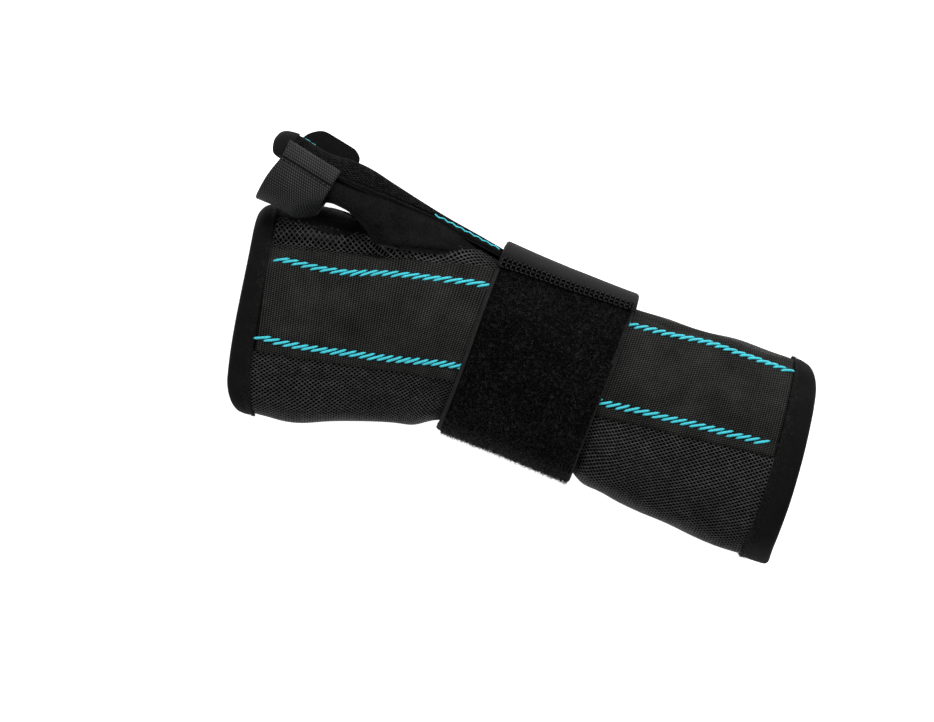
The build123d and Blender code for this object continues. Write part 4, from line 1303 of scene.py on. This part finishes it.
def seam_spot(t):
    """Point of the seam beside the fold's end."""
    ax, up, nx, nz = strap_line(np.asarray(FOLD_END + 0.35))
    return on_thumb(t, ax + nx * 1.45, STRAP_UP + up + nz * 1.45)


dress(strands("thumb_strap_seam", seam_spot(seam_t), seam_spot(seam_t + 1.55), 0.22), black_thread,
      slot="woven_elastic")

hook_run = np.linspace(ARC_LEN + 0.4, ARC_LEN + 13.2, 30)
hook_patch = thumb_strap_sheet("thumb_hook_patch", hook_run, HALF_W - 2.0, 0.04, -0.4, tab_drift)
dress(hook_patch, hook_look, slot="hook_tape", body="thumb_strap_flap", replaces=("thumb_strap_hook_patch",))

loop_q = lambda t: np.linspace(-float(guard_half(t)) + 0.8, -float(guard_half(t)) + 6.5, 14)
loop_t = np.arange(TSTRAP[1] - 16.5, TSTRAP[1] - 1.0, 1.2)
loop = slab("guard_loop_patch", guard_at, loop_t, loop_q, 2.75, 2.3, 0.5)
dress(loop, pile_look, slot="loop_pile", replaces=("thumb_guard_loop_patch",))


# ---- wrist strap: lengths w round its bed, stations x along the forearm -------------------------
W_HALF = float(half_round(0.0))
arc_w = np.linspace(-W_HALF, W_HALF, 4001)
arc_p = band(0.0, arc_w, 0.0)


def w_where(test, pick):
    """Length round the strap of the first or last place that passes a test on (y, z)."""
    ok = test(arc_p[:, 1], arc_p[:, 2])
    return float(arc_w[ok][0 if pick == "first" else -1])


LOW_W_ULNAR = w_where(lambda y, z: (y < 0) & (z > 15.0), "first")
SEAM_A = w_where(lambda y, z: (y < SEAM_Y[0]) & (z > 30), "last")
SEAM_B = w_where(lambda y, z: (y < SEAM_Y[1]) & (z > 30), "last")
LANDING_W = w_where(lambda y, z: (y > 0) & (z > 29.0), "last")
TAB_W = w_where(lambda y, z: (y > 0) & (z > 15.0), "last")


def strap_sheet(name, x0, x1, w0, w1, out, inn, edge=0.8, step=1.0, shape=None):
    """Closed sheet on the strap's bed; out and inn are offsets, as numbers or functions of (x, w)."""
    xs = np.linspace(x0, x1, max(int((x1 - x0) / step), 4) + 1)
    ws = np.linspace(w0, w1, max(int((w1 - w0) / step), 4) + 1)
    surface = (lambda x, w, d: band(*shape(x, w), d)) if shape else band
    return slab(name, surface, xs, ws, out, inn, edge)


def pile_out(x, w):
    """Outer face of the pile cloth, with a bare selvedge on the finger side."""
    side = between(x + STRAP_HALF, 1.9, 2.4)
    lump = 0.10 * np.sin(x / 2.1) * np.sin(w / 2.6) + 0.12 * np.sin(x / 6.1 + w / 7.3)
    return 1.5 + side * (0.35 + lump)


def wavy(x, w):
    """The strap's sides wander a little."""
    pull = 0.35 * np.sin(w / 11.0) * np.sign(x) * between(np.abs(x), 0.0, STRAP_HALF) ** 4
    return x + pull, w


ws_back = np.concatenate((np.linspace(LANDING_W, W_HALF, 60), np.linspace(-W_HALF, LOW_W_ULNAR, 70)[1:]))
xs_back = np.linspace(-STRAP_HALF, STRAP_HALF, 58)
back = slab("wrist_strap_band", band, xs_back, ws_back, 1.5, 0.05)
dress(back, laminate_look, slot="loop_pile", replaces=("wrist_strap_back",))

flap = strap_sheet("wrist_strap_pile_cloth", -STRAP_HALF, STRAP_HALF, LOW_W_ULNAR, SEAM_B, pile_out, 0.05,
                   0.8, 0.8, wavy)
dress(flap, pile_look, selvedge_look, slot="loop_pile", body=None, replaces=("wrist_strap_pile",))
centre_x = np.array([p.center[0] for p in flap.data.polygons]) / MM
selvedge = (centre_x < -STRAP_HALF + 1.7) | (centre_x > STRAP_HALF - 1.0)
flap.data.polygons.foreach_set("material_index", selvedge.astype(int))

TAB_SEWN, TAB_STEP = SEAM_A - 3.2, 0.9


def lean(x):
    """How far the tab's sewn edge runs up the strap: more at its elbow side."""
    return 2.2 + 0.043 * x


rng = np.random.default_rng(11)
FIBRES = 26000
fx = rng.uniform(-STRAP_HALF + 2.3, STRAP_HALF - 0.5, FIBRES)
fw = LOW_W_ULNAR + 0.5 + rng.uniform(0, 1, FIBRES) * (TAB_SEWN - 0.2 + lean(fx) - LOW_W_ULNAR - 0.5)
fx, fw = wavy(fx, fw)
root = band(fx, fw, 1.8)
hair = 0.75 + 0.75 * between(fw, -30.0, -38.0)[:, None] * (rng.uniform(0, 1, (FIBRES, 1)) > 0.75)
fibres = tufts("wrist_strap_fibres", root, normals_of(band, fx, fw), 12, hair, 0.13, 0.75,
               fibre_look, "loop_pile", None)
# the flap's and its fibres' placements are baked into their meshes, in metres
for piece in (flap, fibres):
    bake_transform(piece)


def tab_out(x, w):
    """Outer face of the tab, pressed down at its sewn edge."""
    flush = between(w, TAB_SEWN + 4.0, TAB_SEWN)
    return 3.6 - 0.95 * flush**2 + 0.08 * np.sin(x / 5.0 + 1) * np.sin(w / 6.0)


def tab_shape(x, w):
    """Rounded corners at the tab's free edge and a sewn edge that leans."""
    pull = 1 - round_end(TAB_W - w, 4.0) / STRAP_HALF
    x = x + 0.9 * between(x, 0.0, STRAP_HALF) ** 3
    return wavy(x * pull, w + lean(x) * between(w, TAB_W, TAB_SEWN))


tab = strap_sheet("wrist_strap_tab_cloth", -STRAP_HALF + 0.1, STRAP_HALF - 0.1, TAB_SEWN, TAB_W, tab_out,
                  2.35, 0.5, TAB_STEP, tab_shape)
dress(tab, laminate_look, shade_look, slot="strap_laminate", body=None, replaces=("wrist_strap_tab",))
# painted shade: between the ladder's stitches the cloth gets the near-black second material, four quads deep,
# short of both sides of the strap
across, deep, last = int((TAB_W - TAB_SEWN) / TAB_STEP), 4, 61
ladder_shade = [across <= k < across * last and k % across < deep for k in range(len(tab.data.polygons))]
tab.data.polygons.foreach_set("material_index", np.array(ladder_shade, int))
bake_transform(tab)

hooks = strap_sheet("wrist_hook_patch", -STRAP_HALF + 1.2, STRAP_HALF - 1.2, SEAM_B + 5.0, TAB_W - 1.2, 2.3,
                    1.8, 0.4, TAB_STEP, lambda x, w: (x * np.where(TAB_W - w < 8, 0.94, 1.0), w))
dress(hooks, hook_look, slot="hook_tape", body="hook_tab", replaces=("wrist_strap_hook_patch",))


def on_tab(x, w):
    """Spot on the tab for the ladder's thread."""
    return band(*tab_shape(x, w + 0 * x), tab_out(x, w) + 0.12)


# ladder seam: three rows of stitches along x, joined by rungs
ladder_a, ladder_b = [], []
RUNGS, LADDER = np.arange(-STRAP_HALF + 1.2, STRAP_HALF - 1.0, 2.05), (0.4, 1.8, 3.2)
for row in LADDER:
    ladder_a.append(on_tab(RUNGS[:-1], TAB_SEWN + row))
    ladder_b.append(on_tab(RUNGS[:-1] + 1.65, TAB_SEWN + row))
for low, high in zip(LADDER, LADDER[1:]):
    ladder_a.append(on_tab(RUNGS, TAB_SEWN + low + 0.1))
    ladder_b.append(on_tab(RUNGS, TAB_SEWN + high - 0.1))
ladder = strands("ladder_stitches", np.concatenate(ladder_a), np.concatenate(ladder_b), 0.24, bow=0.12)
dress(ladder, black_thread, slot="ladder_stitching", body="wrist_strap_flap", replaces=("wrist_strap_seam",))

# ---- stays and their caps ---------------------------------------------------------------------
metal = Look("stay_metal", 0.32, specular=0.5, metallic=1.0)
metal.colour(metal.ramp(metal.noise(0.6, 3.0, (0.05, 1, 1)), (0.3, 0.42), (0.7, 0.6))).bump(
    metal.noise(0.4, 2.0, (0.05, 1, 1)), 0.02, 0.4)
cap_look = fuzzy("stay_cap", 0.012, 0.03, 1.4, 0.03, roughness=0.5, sheen=0.0, specular=0.5)


def stay(name, lo, hi, t0, t1, out, inn, replaces, look, slot_name, surface=skin):
    """Flat bar inside a pocket, rounded at both ends, that follows the pocket."""
    ts = np.linspace(t0, t1, 110)

    def row(t):
        drawn = round_end(min(t - t0, t1 - t), 9.0)
        return np.linspace(float(lo(t)) + drawn, float(hi(t)) - drawn, 24)

    return dress(slab(name, surface, ts, row, out, inn, 0.6), look, slot=slot_name, replaces=replaces)


stay("thumb_stay_bar", lambda t: -0.45 * guard_half(t), lambda t: 0.45 * guard_half(t), GT0 + 8.0, 126.0,
     1.5, 0.95, ("thumb_stay",), metal.mat, "stay_metal", guard_at)
palm_lo, palm_hi = lambda t: pocket_ulnar(t) + 8.2, lambda t: pocket_radial(t) - 8.2
stay("palm_stay_bar", palm_lo, palm_hi, PALM_T0 + 7.0, PALM_T1 - 7.0, 1.75, 0.6, ("palmar_stay",), metal.mat,
     "stay_metal")
stay("back_stay_bar", lambda t: -5.8, lambda t: 5.8, DISTAL_T + 28.0, PROXIMAL_T - 32.0, 1.7, 0.65,
     ("dorsal_stay",), metal.mat, "stay_metal", underside)
for side, surface, lo, hi, t0, t1 in (
        ("palmar", skin, lambda t: palm_lo(t) - 0.8, lambda t: palm_hi(t) + 0.8, PALM_T0 + 6.0,
         PALM_T1 - 6.0),
        ("dorsal", underside, lambda t: -6.6, lambda t: 6.6, DISTAL_T + 27.0, PROXIMAL_T - 31.0)):
    for end, (a, b) in (("near", (t0, t0 + 12.0)), ("far", (t1 - 12.0, t1))):
        stay(f"{side}_cap_{end}", lo, hi, a, b, 1.95, 0.45, (f"{side}_stay_caps",), cap_look, "stay_cap",
             surface)

# ---- the scene's objects ----------------------------------------------------------------------
piece = bpy.data.objects

# ---- floor, light and camera ------------------------------------------------------------------
floor_look = Look("pale_floor", 0.8, specular=0.1)
floor_look.colour(floor_look.ramp(floor_look.noise(60.0, 2.0), (0.3, 0.88), (0.7, 0.9)))
floor_look.shader.inputs["Emission Color"].default_value = (1, 1, 1, 1)
floor_look.shader.inputs["Emission Strength"].default_value = 0.75
floor_mesh = bpy.data.meshes.new("floor")
floor_corners = [(x, y, -0.0003) for x, y in ((-3, -3), (3, -3), (3, 3), (-3, 3))]
floor_mesh.from_pydata(floor_corners, [], [(0, 1, 2, 3)])
floor = bpy.data.objects.new("floor", floor_mesh)
collection.objects.link(floor)
floor.data.materials.append(floor_look.mat)

world = bpy.data.worlds.new("studio")
bpy.context.scene.world = world
world.use_nodes = True
world.node_tree.nodes["Background"].inputs[0].default_value = (1.0, 1.0, 1.0, 1.0)
world.node_tree.nodes["Background"].inputs[1].default_value = 0.28


def softbox(name, place, size, power):
    """Large soft lamp that looks at the splint."""
    data = bpy.data.lights.new(name, "AREA")
    data.shape, data.size, data.size_y, data.energy = "RECTANGLE", size[0], size[1], power
    ob = bpy.data.objects.new(name, data)
    collection.objects.link(ob)
    ob.location = place
    ob.rotation_euler = (Vector((0.0, 0.0, 0.03)) - ob.location).to_track_quat("-Z", "Y").to_euler()


softbox("key", (0.10, 0.95, 1.05), (0.9, 0.4), 20.0)
softbox("fill", (-0.8, -0.5, 1.1), (0.7, 0.7), 8.0)

TURN = radians(20.5)
VIEW_CENTRE, VIEW_WIDTH, FAR = (-0.0266, -0.0099), 0.3736, 1.55
camera_data = bpy.data.cameras.new("camera")
camera_data.sensor_width = 36.0
camera_data.lens = 36.0 * FAR / VIEW_WIDTH
camera_data.clip_start = 0.05
camera = bpy.data.objects.new("camera", camera_data)
collection.objects.link(camera)
camera.location = (*VIEW_CENTRE, FAR + 0.035)
camera.rotation_euler = (0.0, 0.0, TURN)
bpy.context.scene.camera = camera
bpy.context.scene.view_settings.view_transform = "Standard"
